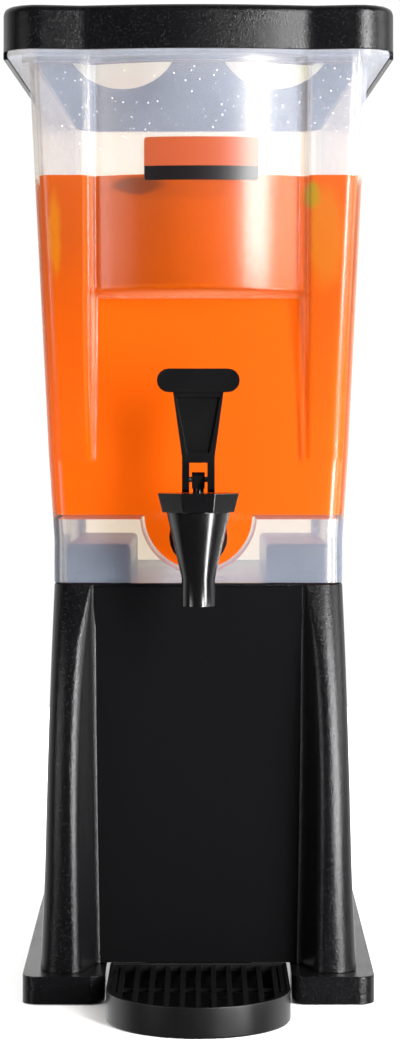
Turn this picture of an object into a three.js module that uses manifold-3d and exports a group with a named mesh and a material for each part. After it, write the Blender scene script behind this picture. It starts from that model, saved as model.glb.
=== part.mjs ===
// Countertop drink dispenser: a slim tank on a stand, with a lever tap, a lid and a drip tray.
// Millimetres, +Z up, the front faces -Y, the origin is under the middle of the whole object.
import * as THREE from "three";
import { mergeVertices } from "three/addons/utils/BufferGeometryUtils.js";
import Module from "manifold-3d";

const wasm = await Module();
wasm.setup();

// Clearances
const seatGap = 0.3;
const cutOver = 4;
const weldStep = 0.0005;

// Stand
const standTop = 229.7;
const standWall = 3;
const standHalfTop = 81.6;
const shinSpread = 3.9;
const footSpread = 6.4;
const shinZ = 70;
const standBackRun = 10;
const pillarReach = 27;
const pillarBend = 3.4;
const pillarCorner = 12;
const standBackCorner = 14;
const pillarWidthTop = 22.3;
const pillarWidthFoot = 32.7;
const pillarFlankTop = 1;
const pillarFlankFoot = 13;
const panelThick = 2.5;
const panelLip = 1.5;

// Locating blocks on top of the stand
const blockInner = 38.3;
const blockSideGap = 6.6;
const blockHeight = 22;
const blockDepth = 180;
const blockFrontGap = 3;
const blockCorner = 3;

// Foot rails, rubber feet and foot screws
const railTop = 15.6;
const railTrayGap = 1.9;
const railLedge = 9;
const railFrontReach = 37;
const railBackRun = 19;
const railCorner = 9;
const railFlare = 4.8;
const railWall = 3.5;
const railSolidEnd = 66;
const footDrop = 0.5;
const footRadius = 9;
const footSink = 3;
const footEdge = 15;
const screwRadius = 2;
const screwHeadRadius = 4;
const screwHeadThick = 2.4;
const screwHeadSink = 5;
const screwSlotHalf = 2.4;
const screwSlotWidth = 1.2;
const screwLength = 34;
const screwSpacing = 36;
const screwBossRadius = 6;
const screwBossHeight = 46;

// Drip tray and its grid
const trayHalf = 49.5;
const trayReach = 121;
const trayRim = 16.3;
const trayWall = 2;
const trayFloor = 2;
const trayFootEdge = 0.5;
const gridSeat = 2;
const gridSink = 1;
const gridThick = 3;
const gridFrame = 2.8;
const slatWidth = 2.7;
const slatPitch = 8.4;
const slatCount = 11;
const tongueHalf = 30;
const tongueReach = 16;
const tongueThick = 4;

// Tank
const tankWall = 2.5;
const tankDepth = 295.4;
const skirtTop = 24;
const kneeSpread = 3.1;
const kneeRise = 70;
const mouthSpread = 12.7;
const wallHeight = 291;
const mouthBackRun = 13;
const tankCorner = 10;
const tankBackCorner = 20;
const floorRise = 38;
const lobeStart = 67;
const lobeReach = 33;
const lobeWidth = 23.6;
const bayFlank = 2;
const bayNotch = 7;
const bayBow = 14.5;
const ledgeRise = 160;
const ledgeRound = 5;
const flangeThick = 3.1;
const flangeOverhang = 14.6;
const flangeLip = 0.6;
const rimNarrow = 9;
const collarOut = 4;
const collarDrop = 2.5;
const sumpRadius = 33;
const sumpLength = 62;

// Label
const labelWidth = 63;
const labelHeight = 23.4;
const labelThick = 0.5;
const labelDrop = 41.1;
const labelShift = 1.7;

// Lid
const lidHeight = 24.5;
const lidWall = 2.6;
const lidCorner = 20;
const lidBackCorner = 26;
const lidBow = 5.7;
const lidNotch = 6;
const lidSlant = 5.4;
const lidFlank = 0.6;
const lidDraft = 1;
const lidRound = 4;
const lipHeight = 6;
const lipThick = 2;
const lipGap = 0.6;
const pocketHalfWidth = 29.5;
const pocketHalfLength = 65;
const pocketDepth = 16;
const pocketSpread = 45.5;
const pocketBehind = 76;

// Tap body
const tapReach = 53;
const shankRise = 26;
const spoutDrop = 35.8;
const spoutRadius = 9.1;
const spoutBore = 6.5;
const spoutLength = 15.2;
const coneTopRadius = 17.3;
const coneHeight = 35.6;
const tapWall = 3.2;
const neckHeight = 6;
const neckStep = 1.4;
const seatRise = 8;
const barrelRadius = 10;
const shankRadius = 8;
const shankBore = 5.2;
const shankInside = 24;
const tapFlangeRadius = 16.4;
const tapFlangeThick = 4;
const washerThick = 2;
const innerWasherRadius = 12.5;
const nutRadius = 14;
const nutThick = 9;

// Bonnet, stem, seat cup and spring
const bonnetHalf = 22;
const bonnetFootHalf = 19.4;
const bonnetHeight = 10.3;
const bonnetTopThick = 3.2;
const bonnetSides = 8;
const stemRadius = 3;
const stemEyeHalf = 3.5;
const stemEyeHeight = 4;
const stemEyeDrop = 5;
const stemShoulderRadius = 7;
const stemShoulderThick = 1.5;
const stemFootRadius = 5;
const stemFootThick = 2.5;
const cupPlugRadius = 7;
const cupSkirtRadius = 9.5;
const cupHeight = 12;
const cupBottom = 3;
const springRadius = 5.4;
const springWire = 0.6;
const springLength = 13;
const springTurns = 5;

// Lever
const pinRise = 7.4;
const pinRadius = 1.5;
const liftPerRadian = 7;
const leverTiltTop = 0.61;
const legOuter = 8.85;
const forkHalf = 4.9;
const forkTop = 9;
const footThick = 5;
const leverBladeRise = 12;
const bladeTopHalf = 14.6;
const bladeThick = 7;
const bladeRim = 2.6;
const bladeSink = 2.2;
const barRise = 53.7;
const barHeight = 12.8;
const barHalf = 22.5;
const barThick = 11;

// Sizes and places worked out from the sizes above
const standHalfShin = standHalfTop + shinSpread;
const standHalfFoot = standHalfTop + footSpread;
const panelHalfTop = standHalfTop - pillarWidthTop;
const panelHalfFoot = standHalfFoot - pillarWidthFoot;
const blockOuter = standHalfTop - blockSideGap;
const railInner = trayHalf + railTrayGap;
const railOuter = standHalfFoot + railLedge;
const skirtHalf = standHalfTop;
const kneeHalf = skirtHalf + kneeSpread;
const mouthHalf = skirtHalf + mouthSpread;
const bayHalf = skirtHalf - lobeWidth;
const lidBehind = tankDepth + mouthBackRun + flangeOverhang;
const wallY = (trayReach - lidBehind) / 2;
const tankBottom = standTop + seatGap;
const mouthZ = tankBottom + wallHeight;
const flangeTop = mouthZ + flangeThick;
const lidBottom = flangeTop + seatGap;
const lidTop = lidBottom + lidHeight;
const floorZ = tankBottom + floorRise;
const tapY = wallY - tapReach;
const shankZ = tankBottom + shankRise;
const spoutZ = shankZ - spoutDrop;
const coneBottomZ = spoutZ + spoutLength;
const coneTopZ = coneBottomZ + coneHeight;
const neckTopZ = coneTopZ + neckHeight;
const bonnetBottomZ = coneTopZ + seatGap;
const bonnetTopZ = bonnetBottomZ + bonnetHeight;
const pinZ = bonnetTopZ + pinRise;
const recessDepth = panelThick + seatGap;
const standBottom = railTop + seatGap;
const railFront = wallY - railFrontReach;
const railBack = wallY + tankDepth + railBackRun;

// Colours and finishes
const blackTextured = { color: 0x1c1c1e, roughness: 0.6, metalness: 0 };
const blackGlossy = { color: 0x161618, roughness: 0.15, metalness: 0 };
const frosted = { color: 0xe4e2e4, roughness: 0.35, metalness: 0, transparent: true, opacity: 0.6 };
const labelPrint = { color: 0xe25f3c, roughness: 0.5, metalness: 0 };
const darkRubber = { color: 0x101012, roughness: 0.85, metalness: 0 };
const silicone = { color: 0xd8d8d4, roughness: 0.6, metalness: 0 };
const steel = { color: 0xb8babd, roughness: 0.3, metalness: 1 };

// Solids
function toSolid(geometry) {
  const bare = geometry.clone();
  bare.deleteAttribute("normal");
  bare.deleteAttribute("uv");
  const merged = mergeVertices(bare, weldStep);
  const index = Array.from(merged.index.array);
  const places = Float32Array.from(merged.attributes.position.array);
  const triangles = [];
  for (let i = 0; i < index.length; i += 3) {
    const [a, b, c] = index.slice(i, i + 3);
    if (a !== b && b !== c && c !== a) {
      triangles.push(a, b, c);
    }
  }
  if (signedVolume(places, triangles) < 0) {
    triangles.reverse();
  }
  const triVerts = Uint32Array.from(triangles);
  return new wasm.Manifold(new wasm.Mesh({ numProp: 3, vertProperties: places, triVerts }));
}

function signedVolume(places, triangles) {
  const corner = (i) => new THREE.Vector3().fromArray(places, 3 * i);
  let volume = 0;
  for (let i = 0; i < triangles.length; i += 3) {
    const [a, b, c] = triangles.slice(i, i + 3).map(corner);
    volume += a.dot(b.cross(c)) / 6;
  }
  return volume;
}

function toMesh(name, solid, finish) {
  const { vertProperties, triVerts, numProp } = solid.getMesh();
  const geometry = new THREE.BufferGeometry();
  const places = new Float32Array((vertProperties.length / numProp) * 3);
  for (let i = 0; i < places.length / 3; i += 1) {
    places.set(vertProperties.subarray(i * numProp, i * numProp + 3), i * 3);
  }
  geometry.setAttribute("position", new THREE.BufferAttribute(places, 3));
  geometry.setIndex(Array.from(triVerts));
  const flat = geometry.toNonIndexed();
  flat.computeVertexNormals();
  const mesh = new THREE.Mesh(flat, new THREE.MeshStandardMaterial(finish));
  mesh.name = name;
  return mesh;
}

// Rings of points, one above the other, skinned and closed at both ends
function loft(rings) {
  const count = rings[0].length;
  const places = rings.flatMap((ring) => ring.flatMap((p) => [p.x, p.y, p.z]));
  const index = [];
  for (let r = 0; r + 1 < rings.length; r += 1) {
    for (let i = 0; i < count; i += 1) {
      const next = (i + 1) % count;
      const low = r * count;
      const high = low + count;
      index.push(low + i, low + next, high + next);
      index.push(low + i, high + next, high + i);
    }
  }
  const flat = (ring) => ring.map((p) => new THREE.Vector2(p.x, p.y));
  const top = (rings.length - 1) * count;
  THREE.ShapeUtils.triangulateShape(flat(rings[0]), []).forEach(([a, b, c]) => index.push(a, c, b));
  THREE.ShapeUtils.triangulateShape(flat(rings[rings.length - 1]), []).forEach(([a, b, c]) => {
    index.push(top + a, top + b, top + c);
  });
  const geometry = new THREE.BufferGeometry();
  geometry.setAttribute("position", new THREE.Float32BufferAttribute(places, 3));
  geometry.setIndex(index);
  return toSolid(geometry);
}

function ringAt(points, z) {
  return points.map((p) => new THREE.Vector3(p.x, p.y, z));
}

function box(x0, x1, y0, y1, z0, z1) {
  const geometry = new THREE.BoxGeometry(x1 - x0, y1 - y0, z1 - z0);
  geometry.translate((x0 + x1) / 2, (y0 + y1) / 2, (z0 + z1) / 2);
  return toSolid(geometry);
}

// A round bar along Z, from z0 to z1, at x and y
function bar(x, y, radius, z0, z1, sides = 24) {
  const geometry = new THREE.CylinderGeometry(radius, radius, z1 - z0, sides);
  geometry.rotateX(Math.PI / 2);
  geometry.translate(x, y, (z0 + z1) / 2);
  return toSolid(geometry);
}

// A round bar along Y, from y0 to y1, at x and z
function barAlongY(x, z, radius, y0, y1, sides = 24) {
  const geometry = new THREE.CylinderGeometry(radius, radius, y1 - y0, sides);
  geometry.translate(x, (y0 + y1) / 2, z);
  return toSolid(geometry);
}

// A turned piece about the vertical line through x = 0 and y, from points of radius and height
function turned(profile, y, sides = 32) {
  const points = profile.map(([radius, height]) => new THREE.Vector2(radius, height));
  const geometry = new THREE.LatheGeometry(points, sides);
  geometry.rotateX(Math.PI / 2);
  geometry.translate(0, y, 0);
  return toSolid(geometry);
}

// A flat outline of y and z, drawn through from x0 to x1
function drawnAlongX(points, x0, x1) {
  const geometry = new THREE.ExtrudeGeometry(new THREE.Shape(points), {
    depth: x1 - x0,
    bevelEnabled: false,
  });
  const turn = new THREE.Matrix4().makeBasis(
    new THREE.Vector3(0, 1, 0),
    new THREE.Vector3(0, 0, 1),
    new THREE.Vector3(1, 0, 0),
  );
  geometry.applyMatrix4(turn);
  geometry.translate(x0, 0, 0);
  return toSolid(geometry);
}

// A flat outline of x and z, drawn through from y0 to y1
function drawnAlongY(points, y0, y1) {
  const geometry = new THREE.ExtrudeGeometry(new THREE.Shape(points), {
    depth: y1 - y0,
    bevelEnabled: false,
  });
  geometry.rotateX(Math.PI / 2);
  geometry.translate(0, y1, 0);
  return toSolid(geometry);
}

// A flat outline of x and y, drawn up from z0 to z1
function drawnUp(points, z0, z1) {
  return loft([ringAt(points, z0), ringAt(points, z1)]);
}

function arc(x, y, radius, from, to, steps) {
  const points = [];
  for (let i = 0; i <= steps; i += 1) {
    const angle = from + ((to - from) * i) / steps;
    points.push(new THREE.Vector2(x + radius * Math.cos(angle), y + radius * Math.sin(angle)));
  }
  return points;
}

function roundedRectangle(x0, x1, y0, y1, radius, steps = 5) {
  return [
    ...arc(x0 + radius, y0 + radius, radius, Math.PI, Math.PI * 1.5, steps),
    ...arc(x1 - radius, y0 + radius, radius, Math.PI * 1.5, Math.PI * 2, steps),
    ...arc(x1 - radius, y1 - radius, radius, 0, Math.PI * 0.5, steps),
    ...arc(x0 + radius, y1 - radius, radius, Math.PI * 0.5, Math.PI, steps),
  ];
}

const mix = THREE.MathUtils.lerp;

// The plan that the tank, the lid and the stand share: two front lobes with a bay between them
const baySteps = 12;
const cornerSteps = 5;
const leastCornerShare = 0.35;

function planOutline(plan) {
  const { half, narrow, front, back, corner, backCorner, bay, flank, edge, bow, slant } = plan;
  const rearX = half - narrow - backCorner;
  const points = arc(corner - half, front + corner, corner, Math.PI, Math.PI * 1.5, cornerSteps);
  points.push(new THREE.Vector2(-bay - flank, front + slant));
  for (let i = 0; i <= baySteps; i += 1) {
    const share = (2 * i) / baySteps - 1;
    points.push(new THREE.Vector2(bay * share, edge - bow * (1 - share * share)));
  }
  points.push(new THREE.Vector2(bay + flank, front + slant));
  points.push(...arc(half - corner, front + corner, corner, -Math.PI / 2, 0, cornerSteps));
  points.push(...arc(rearX, back - backCorner, backCorner, 0, Math.PI / 2, cornerSteps));
  points.push(...arc(-rearX, back - backCorner, backCorner, Math.PI / 2, Math.PI, cornerSteps));
  return points;
}

// The same plan drawn in by one wall, or grown where the wall is negative
function drawnIn(plan, wall) {
  const slope = (2 * plan.bow) / plan.bay;
  const edgeShift = wall * (Math.sqrt(1 + slope * slope) + slope);
  return {
    ...plan,
    half: plan.half - wall,
    front: plan.front + wall,
    back: plan.back - wall,
    corner: Math.max(plan.corner - wall, plan.corner * leastCornerShare),
    backCorner: Math.max(plan.backCorner - wall, plan.backCorner * leastCornerShare),
    bay: plan.bay + wall,
    edge: plan.edge + edgeShift,
    bow: Math.max(plan.bow + edgeShift - wall, 0),
  };
}

function loftPlans(levels) {
  return loft(levels.map(([z, plan]) => ringAt(planOutline(plan), z)));
}

// Stand
function standPlan(z) {
  const rise = (z - standBottom) / (standTop - standBottom);
  const shinRise = (z - standBottom) / (shinZ - standBottom);
  const upperRise = (z - shinZ) / (standTop - shinZ);
  const lower = mix(standHalfFoot, standHalfShin, shinRise);
  const upper = mix(standHalfShin, standHalfTop, upperRise);
  const swell = 1 - Math.pow(rise, pillarBend);
  return {
    half: z < shinZ ? lower : upper,
    narrow: 0,
    front: wallY - pillarReach * swell,
    back: wallY + tankDepth + mix(standBackRun, 0, rise),
    corner: pillarCorner,
    backCorner: standBackCorner,
    bay: mix(panelHalfFoot, panelHalfTop, rise),
    flank: mix(pillarFlankTop, pillarFlankFoot, swell),
    edge: wallY,
    bow: 0,
    slant: 0,
  };
}

// Closer together near the top, where the pillars swell out fastest
function standHeights() {
  const upperShares = [0, 0.25, 0.45, 0.62, 0.76, 0.88, 1];
  return [standBottom, ...upperShares.map((share) => mix(shinZ, standTop, share))];
}

function panelOutline(z0, z1, margin) {
  const low = standPlan(z0).bay - margin;
  const high = standPlan(z1).bay - margin;
  return [
    new THREE.Vector2(-low, z0),
    new THREE.Vector2(low, z0),
    new THREE.Vector2(high, z1),
    new THREE.Vector2(-high, z1),
  ];
}

function screwPlaces() {
  const frontY = railFront + screwSpacing;
  const backY = railBack - screwSpacing;
  const x = (railInner + railOuter) / 2;
  return [
    ["front_left", -x, frontY],
    ["front_right", x, frontY],
    ["back_left", -x, backY],
    ["back_right", x, backY],
  ];
}

function footPlaces() {
  const frontY = railFront + footEdge;
  const backY = railBack - footEdge;
  const x = (railInner + railOuter) / 2;
  return [
    ["front_left", -x, frontY],
    ["front_right", x, frontY],
    ["back_left", -x, backY],
    ["back_right", x, backY],
  ];
}

function locatingBlock(side, inset, bottom) {
  const y0 = wallY + tankWall + blockFrontGap;
  const x0 = side * blockInner;
  const x1 = side * blockOuter;
  const outline = roundedRectangle(
    Math.min(x0, x1) + inset,
    Math.max(x0, x1) - inset,
    y0 + inset,
    y0 + blockDepth - inset,
    blockCorner,
  );
  const top = standTop + blockHeight - inset;
  const chamfer = blockCorner / 2;
  const middle = new THREE.Vector2(side * (blockInner + blockOuter) / 2, y0 + blockDepth / 2);
  const shrinkX = 1 - chamfer / (blockOuter - blockInner);
  const shrinkY = 1 - chamfer / blockDepth;
  const crown = outline.map((p) => {
    const x = middle.x + (p.x - middle.x) * shrinkX;
    return new THREE.Vector2(x, middle.y + (p.y - middle.y) * shrinkY);
  });
  return loft([ringAt(outline, bottom), ringAt(outline, top - chamfer), ringAt(crown, top)]);
}

function makeStand() {
  const heights = standHeights();
  let stand = loftPlans(heights.map((z) => [z, standPlan(z)]));
  const inner = (z) => {
    const plan = drawnIn(standPlan(z), standWall);
    return { ...plan, edge: plan.edge + recessDepth };
  };
  const deckUnder = standTop - standWall;
  const below = standBottom - cutOver;
  const hollowHeights = [below, ...heights.slice(1, -1), deckUnder];
  const hollow = loftPlans(hollowHeights.map((z) => [z, inner(Math.max(z, standBottom))]));
  const recess = drawnAlongY(
    panelOutline(standBottom, standTop - panelLip, 0),
    wallY - pillarReach - cutOver,
    wallY + recessDepth,
  );
  const recessFoot = box(
    -panelHalfFoot,
    panelHalfFoot,
    wallY - pillarReach - cutOver,
    wallY + recessDepth,
    below,
    standBottom + seatGap,
  );
  for (const side of [-1, 1]) {
    stand = stand.add(locatingBlock(side, 0, deckUnder));
  }
  stand = stand.subtract(hollow).subtract(recess).subtract(recessFoot);
  for (const side of [-1, 1]) {
    stand = stand.subtract(locatingBlock(side, standWall, deckUnder - cutOver));
  }
  const outside = loftPlans(heights.map((z) => [z, standPlan(z)]));
  for (const [, x, y] of screwPlaces()) {
    const boss = bar(x, y, screwBossRadius, standBottom, standBottom + screwBossHeight);
    const y1 = y < 0 ? railFront : railBack;
    const rib = box(
      x - standWall / 2,
      x + standWall / 2,
      Math.min(y, y1),
      Math.max(y, y1),
      standBottom,
      standBottom + screwBossHeight,
    );
    const pilot = bar(x, y, screwRadius + seatGap, below, standBottom + screwLength, 16);
    stand = stand.add(boss.add(rib).intersect(outside)).subtract(pilot);
  }
  return stand;
}

function makePanel() {
  const outline = panelOutline(standBottom + seatGap, standTop - panelLip - seatGap, seatGap);
  return drawnAlongY(outline, wallY, wallY + panelThick);
}

// Foot rails, feet and screws
function makeRail(side) {
  const x0 = Math.min(side * railInner, side * railOuter);
  const x1 = Math.max(side * railInner, side * railOuter);
  const flared = (p) => {
    const across = (side * p.x - railInner) / (railOuter - railInner);
    const along = (p.y - railFront) / (railBack - railFront);
    return new THREE.Vector2(p.x + side * railFlare * across * along, p.y);
  };
  const outline = roundedRectangle(x0, x1, railFront, railBack, railCorner).map(flared);
  let rail = drawnUp(outline, footDrop, railTop);
  rail = rail.subtract(
    box(
      x0 + railWall,
      x1 - railWall,
      railFront + railSolidEnd,
      railBack - railSolidEnd,
      footDrop - cutOver,
      railTop - railWall,
    ),
  );
  for (const [, x, y] of footPlaces()) {
    rail = rail.subtract(bar(x, y, footRadius + seatGap, footDrop - cutOver, footDrop + footSink));
  }
  for (const [, x, y] of screwPlaces()) {
    const headTop = footDrop + screwHeadSink;
    rail = rail.subtract(bar(x, y, screwHeadRadius + seatGap, footDrop - cutOver, headTop));
    rail = rail.subtract(bar(x, y, screwRadius + seatGap, footDrop, railTop + cutOver, 16));
  }
  return rail;
}

function makeFoot(x, y) {
  return bar(x, y, footRadius, 0, footDrop + footSink - seatGap);
}

function makeScrew(x, y) {
  const headTop = footDrop + screwHeadSink - seatGap;
  const head = bar(x, y, screwHeadRadius, headTop - screwHeadThick, headTop);
  const shaft = bar(x, y, screwRadius, headTop - screwHeadThick, headTop + screwLength, 16);
  const slot = roundedRectangle(
    x - screwSlotHalf,
    x + screwSlotHalf,
    y - screwSlotWidth / 2,
    y + screwSlotWidth / 2,
    screwSlotWidth / 3,
  );
  const slotTop = headTop - screwHeadThick / 2;
  return head.add(shaft).subtract(drawnUp(slot, headTop - screwHeadThick - cutOver, slotTop));
}

// Drip tray and grid
function trayOutline(inset) {
  const half = trayHalf - inset;
  const centreY = wallY - trayReach + trayHalf;
  const back = wallY - seatGap - inset;
  return [
    ...arc(0, centreY, half, Math.PI, Math.PI * 2, 24),
    new THREE.Vector2(half, back),
    new THREE.Vector2(-half, back),
  ];
}

function makeTray() {
  const gridTop = trayRim - gridSink;
  const seatZ = gridTop - gridThick - seatGap;
  let tray = loft([
    ringAt(trayOutline(trayFootEdge), 0),
    ringAt(trayOutline(0), trayFootEdge * 2),
    ringAt(trayOutline(0), trayRim),
  ]);
  const tongueTop = railTop;
  tray = tray.add(
    box(
      -tongueHalf,
      tongueHalf,
      wallY - seatGap - trayWall,
      wallY + tongueReach,
      tongueTop - tongueThick,
      tongueTop,
    ),
  );
  tray = tray.subtract(drawnUp(trayOutline(trayWall), seatZ, trayRim + cutOver));
  return tray.subtract(drawnUp(trayOutline(trayWall + gridSeat), trayFloor, trayRim));
}

function makeGrid() {
  const top = trayRim - gridSink;
  const bottom = top - gridThick;
  const outer = trayWall + seatGap;
  let slats = null;
  for (let i = 0; i < slatCount; i += 1) {
    const x = (i - (slatCount - 1) / 2) * slatPitch;
    const slat = box(
      x - slatWidth / 2,
      x + slatWidth / 2,
      wallY - trayReach,
      wallY,
      bottom,
      top,
    );
    slats = slats ? slats.add(slat) : slat;
  }
  const middleY = wallY - trayReach / 2;
  slats = slats.add(
    box(-trayHalf, trayHalf, middleY - slatWidth / 2, middleY + slatWidth / 2, bottom, top - gridThick / 2),
  );
  const disc = drawnUp(trayOutline(outer), bottom, top);
  const window = drawnUp(trayOutline(outer + gridFrame), bottom - cutOver, top + cutOver);
  const slatField = drawnUp(trayOutline(outer + gridFrame / 2), bottom, top);
  return disc.subtract(window).add(slats.intersect(slatField));
}

// Tank
function tankPlan(z) {
  const rise = z - tankBottom;
  const kneeShare = THREE.MathUtils.clamp((rise - skirtTop) / (kneeRise - skirtTop), 0, 1);
  const upperShare = THREE.MathUtils.clamp((rise - kneeRise) / (wallHeight - kneeRise), 0, 1);
  const lobeShare = THREE.MathUtils.clamp((rise - lobeStart) / (wallHeight - lobeStart), 0, 1);
  const backShare = THREE.MathUtils.clamp((rise - skirtTop) / (wallHeight - skirtTop), 0, 1);
  const front = wallY - lobeReach * lobeShare;
  const round = THREE.MathUtils.clamp((rise - ledgeRise) / ledgeRound, 0, 1);
  const swell = Math.sqrt(1 - (1 - round) * (1 - round));
  return {
    half: mix(mix(skirtHalf, kneeHalf, kneeShare), mouthHalf, upperShare),
    narrow: rimNarrow * backShare,
    front,
    back: wallY + tankDepth + mouthBackRun * backShare,
    corner: tankCorner,
    backCorner: tankBackCorner,
    bay: bayHalf,
    flank: bayFlank,
    edge: mix(wallY, front + bayNotch, swell),
    bow: bayBow * swell,
    slant: 0,
  };
}

function tankHeights() {
  const ledge = [0, 0.15, 0.5, 1].map((share) => ledgeRise + ledgeRound * share);
  const rises = [skirtTop, lobeStart, kneeRise, ...ledge];
  return rises.map((rise) => tankBottom + rise);
}

function makeTank() {
  const heights = tankHeights();
  const levels = [tankBottom, ...heights, mouthZ];
  let tank = loftPlans(levels.map((z) => [z, tankPlan(z)]));
  const mouth = tankPlan(mouthZ);
  const collar = drawnIn(mouth, -collarOut);
  const rim = flangePlan();
  tank = tank.add(loftPlans([[mouthZ - collarDrop, collar], [flangeTop, collar]]));
  tank = tank.add(loftPlans([[mouthZ, rim], [flangeTop, rim]]));
  const inner = (z) => drawnIn(tankPlan(z), tankWall);
  const upper = heights.filter((z) => z > floorZ);
  const cavityLevels = [floorZ, ...upper, mouthZ];
  const cavity = cavityLevels.map((z) => [z, inner(z)]);
  cavity.push([flangeTop + cutOver, inner(mouthZ)]);
  const below = tankBottom - cutOver;
  const skirt = [below, tankBottom + skirtTop, floorZ - tankWall];
  let hollow = loftPlans(skirt.map((z) => [z, inner(Math.max(z, tankBottom))]));
  hollow = hollow.subtract(barAlongY(0, floorZ, sumpRadius, wallY, wallY + sumpLength, 48));
  tank = tank.subtract(loftPlans(cavity)).subtract(hollow);
  const sumpFront = wallY + tankWall;
  const sumpBack = wallY + sumpLength - tankWall;
  tank = tank.subtract(barAlongY(0, floorZ, sumpRadius - tankWall, sumpFront, sumpBack, 48));
  const hole = barAlongY(0, shankZ, shankRadius + seatGap, wallY - cutOver, sumpFront + cutOver);
  return tank.subtract(hole);
}

function makeLabel() {
  const middle = mouthZ - collarDrop - labelDrop - labelHeight / 2;
  const steps = 8;
  const ring = (z) => {
    const plan = tankPlan(z);
    const faceY = (x) => plan.edge - plan.bow * (1 - (x / plan.bay) ** 2) - seatGap;
    const front = [];
    const back = [];
    for (let i = 0; i <= steps; i += 1) {
      const x = labelShift + labelWidth * (i / steps - 0.5);
      front.push(new THREE.Vector2(x, faceY(x) - labelThick));
      back.unshift(new THREE.Vector2(x, faceY(x)));
    }
    return ringAt([...front, ...back], z);
  };
  return loft([ring(middle - labelHeight / 2), ring(middle + labelHeight / 2)]);
}

// Lid
function lidPlan() {
  const mouth = tankPlan(mouthZ);
  const overhang = flangeOverhang - flangeLip;
  return {
    half: mouth.half + overhang + seatGap,
    narrow: rimNarrow,
    front: mouth.front - overhang,
    back: mouth.back + overhang,
    corner: lidCorner,
    backCorner: lidBackCorner,
    bay: bayHalf + bayFlank,
    flank: lidFlank,
    edge: mouth.front - overhang + lidNotch,
    bow: lidBow,
    slant: lidSlant,
  };
}

function flangePlan() {
  return drawnIn(lidPlan(), -flangeLip);
}

function makeLid() {
  const roundShares = [0, 0.3, 0.6, 0.85, 1];
  const outerLevels = [[lidBottom, lidPlan()]];
  for (const share of roundShares) {
    const angle = (share * Math.PI) / 2;
    const z = lidTop - lidRound + lidRound * Math.sin(angle);
    outerLevels.push([z, drawnIn(lidPlan(), lidDraft + lidRound * (1 - Math.cos(angle)))]);
  }
  const outer = loftPlans(outerLevels);
  const hollow = loftPlans([
    [lidBottom - cutOver, drawnIn(lidPlan(), lidWall)],
    [lidTop - lidWall, drawnIn(lidPlan(), lidWall + lidDraft)],
  ]);
  const lipOuter = drawnIn(tankPlan(mouthZ), tankWall + lipGap);
  const lipInner = drawnIn(tankPlan(mouthZ), tankWall + lipGap + lipThick);
  const lipBottom = lidBottom - lipHeight;
  const lip = loftPlans([[lipBottom, lipOuter], [lidTop - lidWall / 2, lipOuter]]).subtract(
    loftPlans([[lipBottom - cutOver, lipInner], [lidTop, lipInner]]),
  );
  let lid = outer.subtract(hollow).add(lip);
  for (const side of [-1, 1]) {
    lid = lid.add(pocket(side, lidWall).intersect(outer));
  }
  for (const side of [-1, 1]) {
    lid = lid.subtract(pocket(side, 0));
  }
  return lid;
}

// A finger pocket's bowl beside the centre grip, grown by one wall
function pocket(side, wall) {
  const geometry = new THREE.SphereGeometry(1, 24, 12);
  geometry.rotateX(Math.PI / 2);
  geometry.scale(pocketHalfWidth + wall, pocketHalfLength + wall, pocketDepth + wall);
  geometry.translate(side * pocketSpread, wallY + pocketBehind, lidTop);
  return toSolid(geometry);
}

// Tap
function makeTapBody() {
  const chamberFoot = coneBottomZ + seatRise;
  const coneRadius = (z) => mix(spoutRadius, coneTopRadius, (z - coneBottomZ) / coneHeight);
  const neckRadius = coneTopRadius - neckStep;
  const outside = turned(
    [
      [0, spoutZ],
      [spoutRadius, spoutZ],
      [spoutRadius, coneBottomZ],
      [coneTopRadius, coneTopZ],
      [neckRadius, coneTopZ],
      [neckRadius, neckTopZ],
      [0, neckTopZ],
    ],
    tapY,
  );
  const chamber = turned(
    [
      [0, spoutZ - cutOver],
      [spoutBore, spoutZ - cutOver],
      [spoutBore, chamberFoot],
      [coneRadius(chamberFoot) - tapWall, chamberFoot],
      [coneTopRadius - tapWall, coneTopZ],
      [coneTopRadius - tapWall, neckTopZ + cutOver],
      [0, neckTopZ + cutOver],
    ],
    tapY,
  );
  const flangeBack = wallY - seatGap - washerThick - seatGap;
  const shankEnd = wallY + tankWall + shankInside;
  const body = outside
    .add(barAlongY(0, shankZ, barrelRadius, tapY, flangeBack))
    .add(barAlongY(0, shankZ, tapFlangeRadius, flangeBack - tapFlangeThick, flangeBack))
    .add(barAlongY(0, shankZ, shankRadius, tapY, shankEnd));
  const bore = barAlongY(0, shankZ, shankBore, tapY, shankEnd + cutOver);
  return body.subtract(chamber).subtract(bore);
}

function washer(y, radius) {
  const disc = barAlongY(0, shankZ, radius, y, y + washerThick);
  return disc.subtract(barAlongY(0, shankZ, shankRadius + seatGap, y - cutOver, y + washerThick + cutOver));
}

function makeNut() {
  const y = wallY + tankWall + seatGap + washerThick + seatGap;
  const hex = barAlongY(0, shankZ, nutRadius, y, y + nutThick, 6);
  return hex.subtract(barAlongY(0, shankZ, shankRadius + seatGap, y - cutOver, y + nutThick + cutOver));
}

function makeBonnet() {
  const acrossFlats = Math.cos(Math.PI / bonnetSides);
  const geometry = new THREE.CylinderGeometry(
    bonnetHalf / acrossFlats,
    bonnetFootHalf / acrossFlats,
    bonnetHeight,
    bonnetSides,
    1,
    false,
    Math.PI / bonnetSides,
  );
  geometry.rotateX(Math.PI / 2);
  geometry.translate(0, tapY, (bonnetBottomZ + bonnetTopZ) / 2);
  const neckRadius = coneTopRadius - neckStep;
  const under = bonnetTopZ - bonnetTopThick;
  const socket = bar(0, tapY, neckRadius + seatGap, bonnetBottomZ - cutOver, under, 32);
  const hole = bar(0, tapY, stemRadius + seatGap, under - cutOver, bonnetTopZ + cutOver);
  return toSolid(geometry).subtract(socket).subtract(hole);
}

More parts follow.
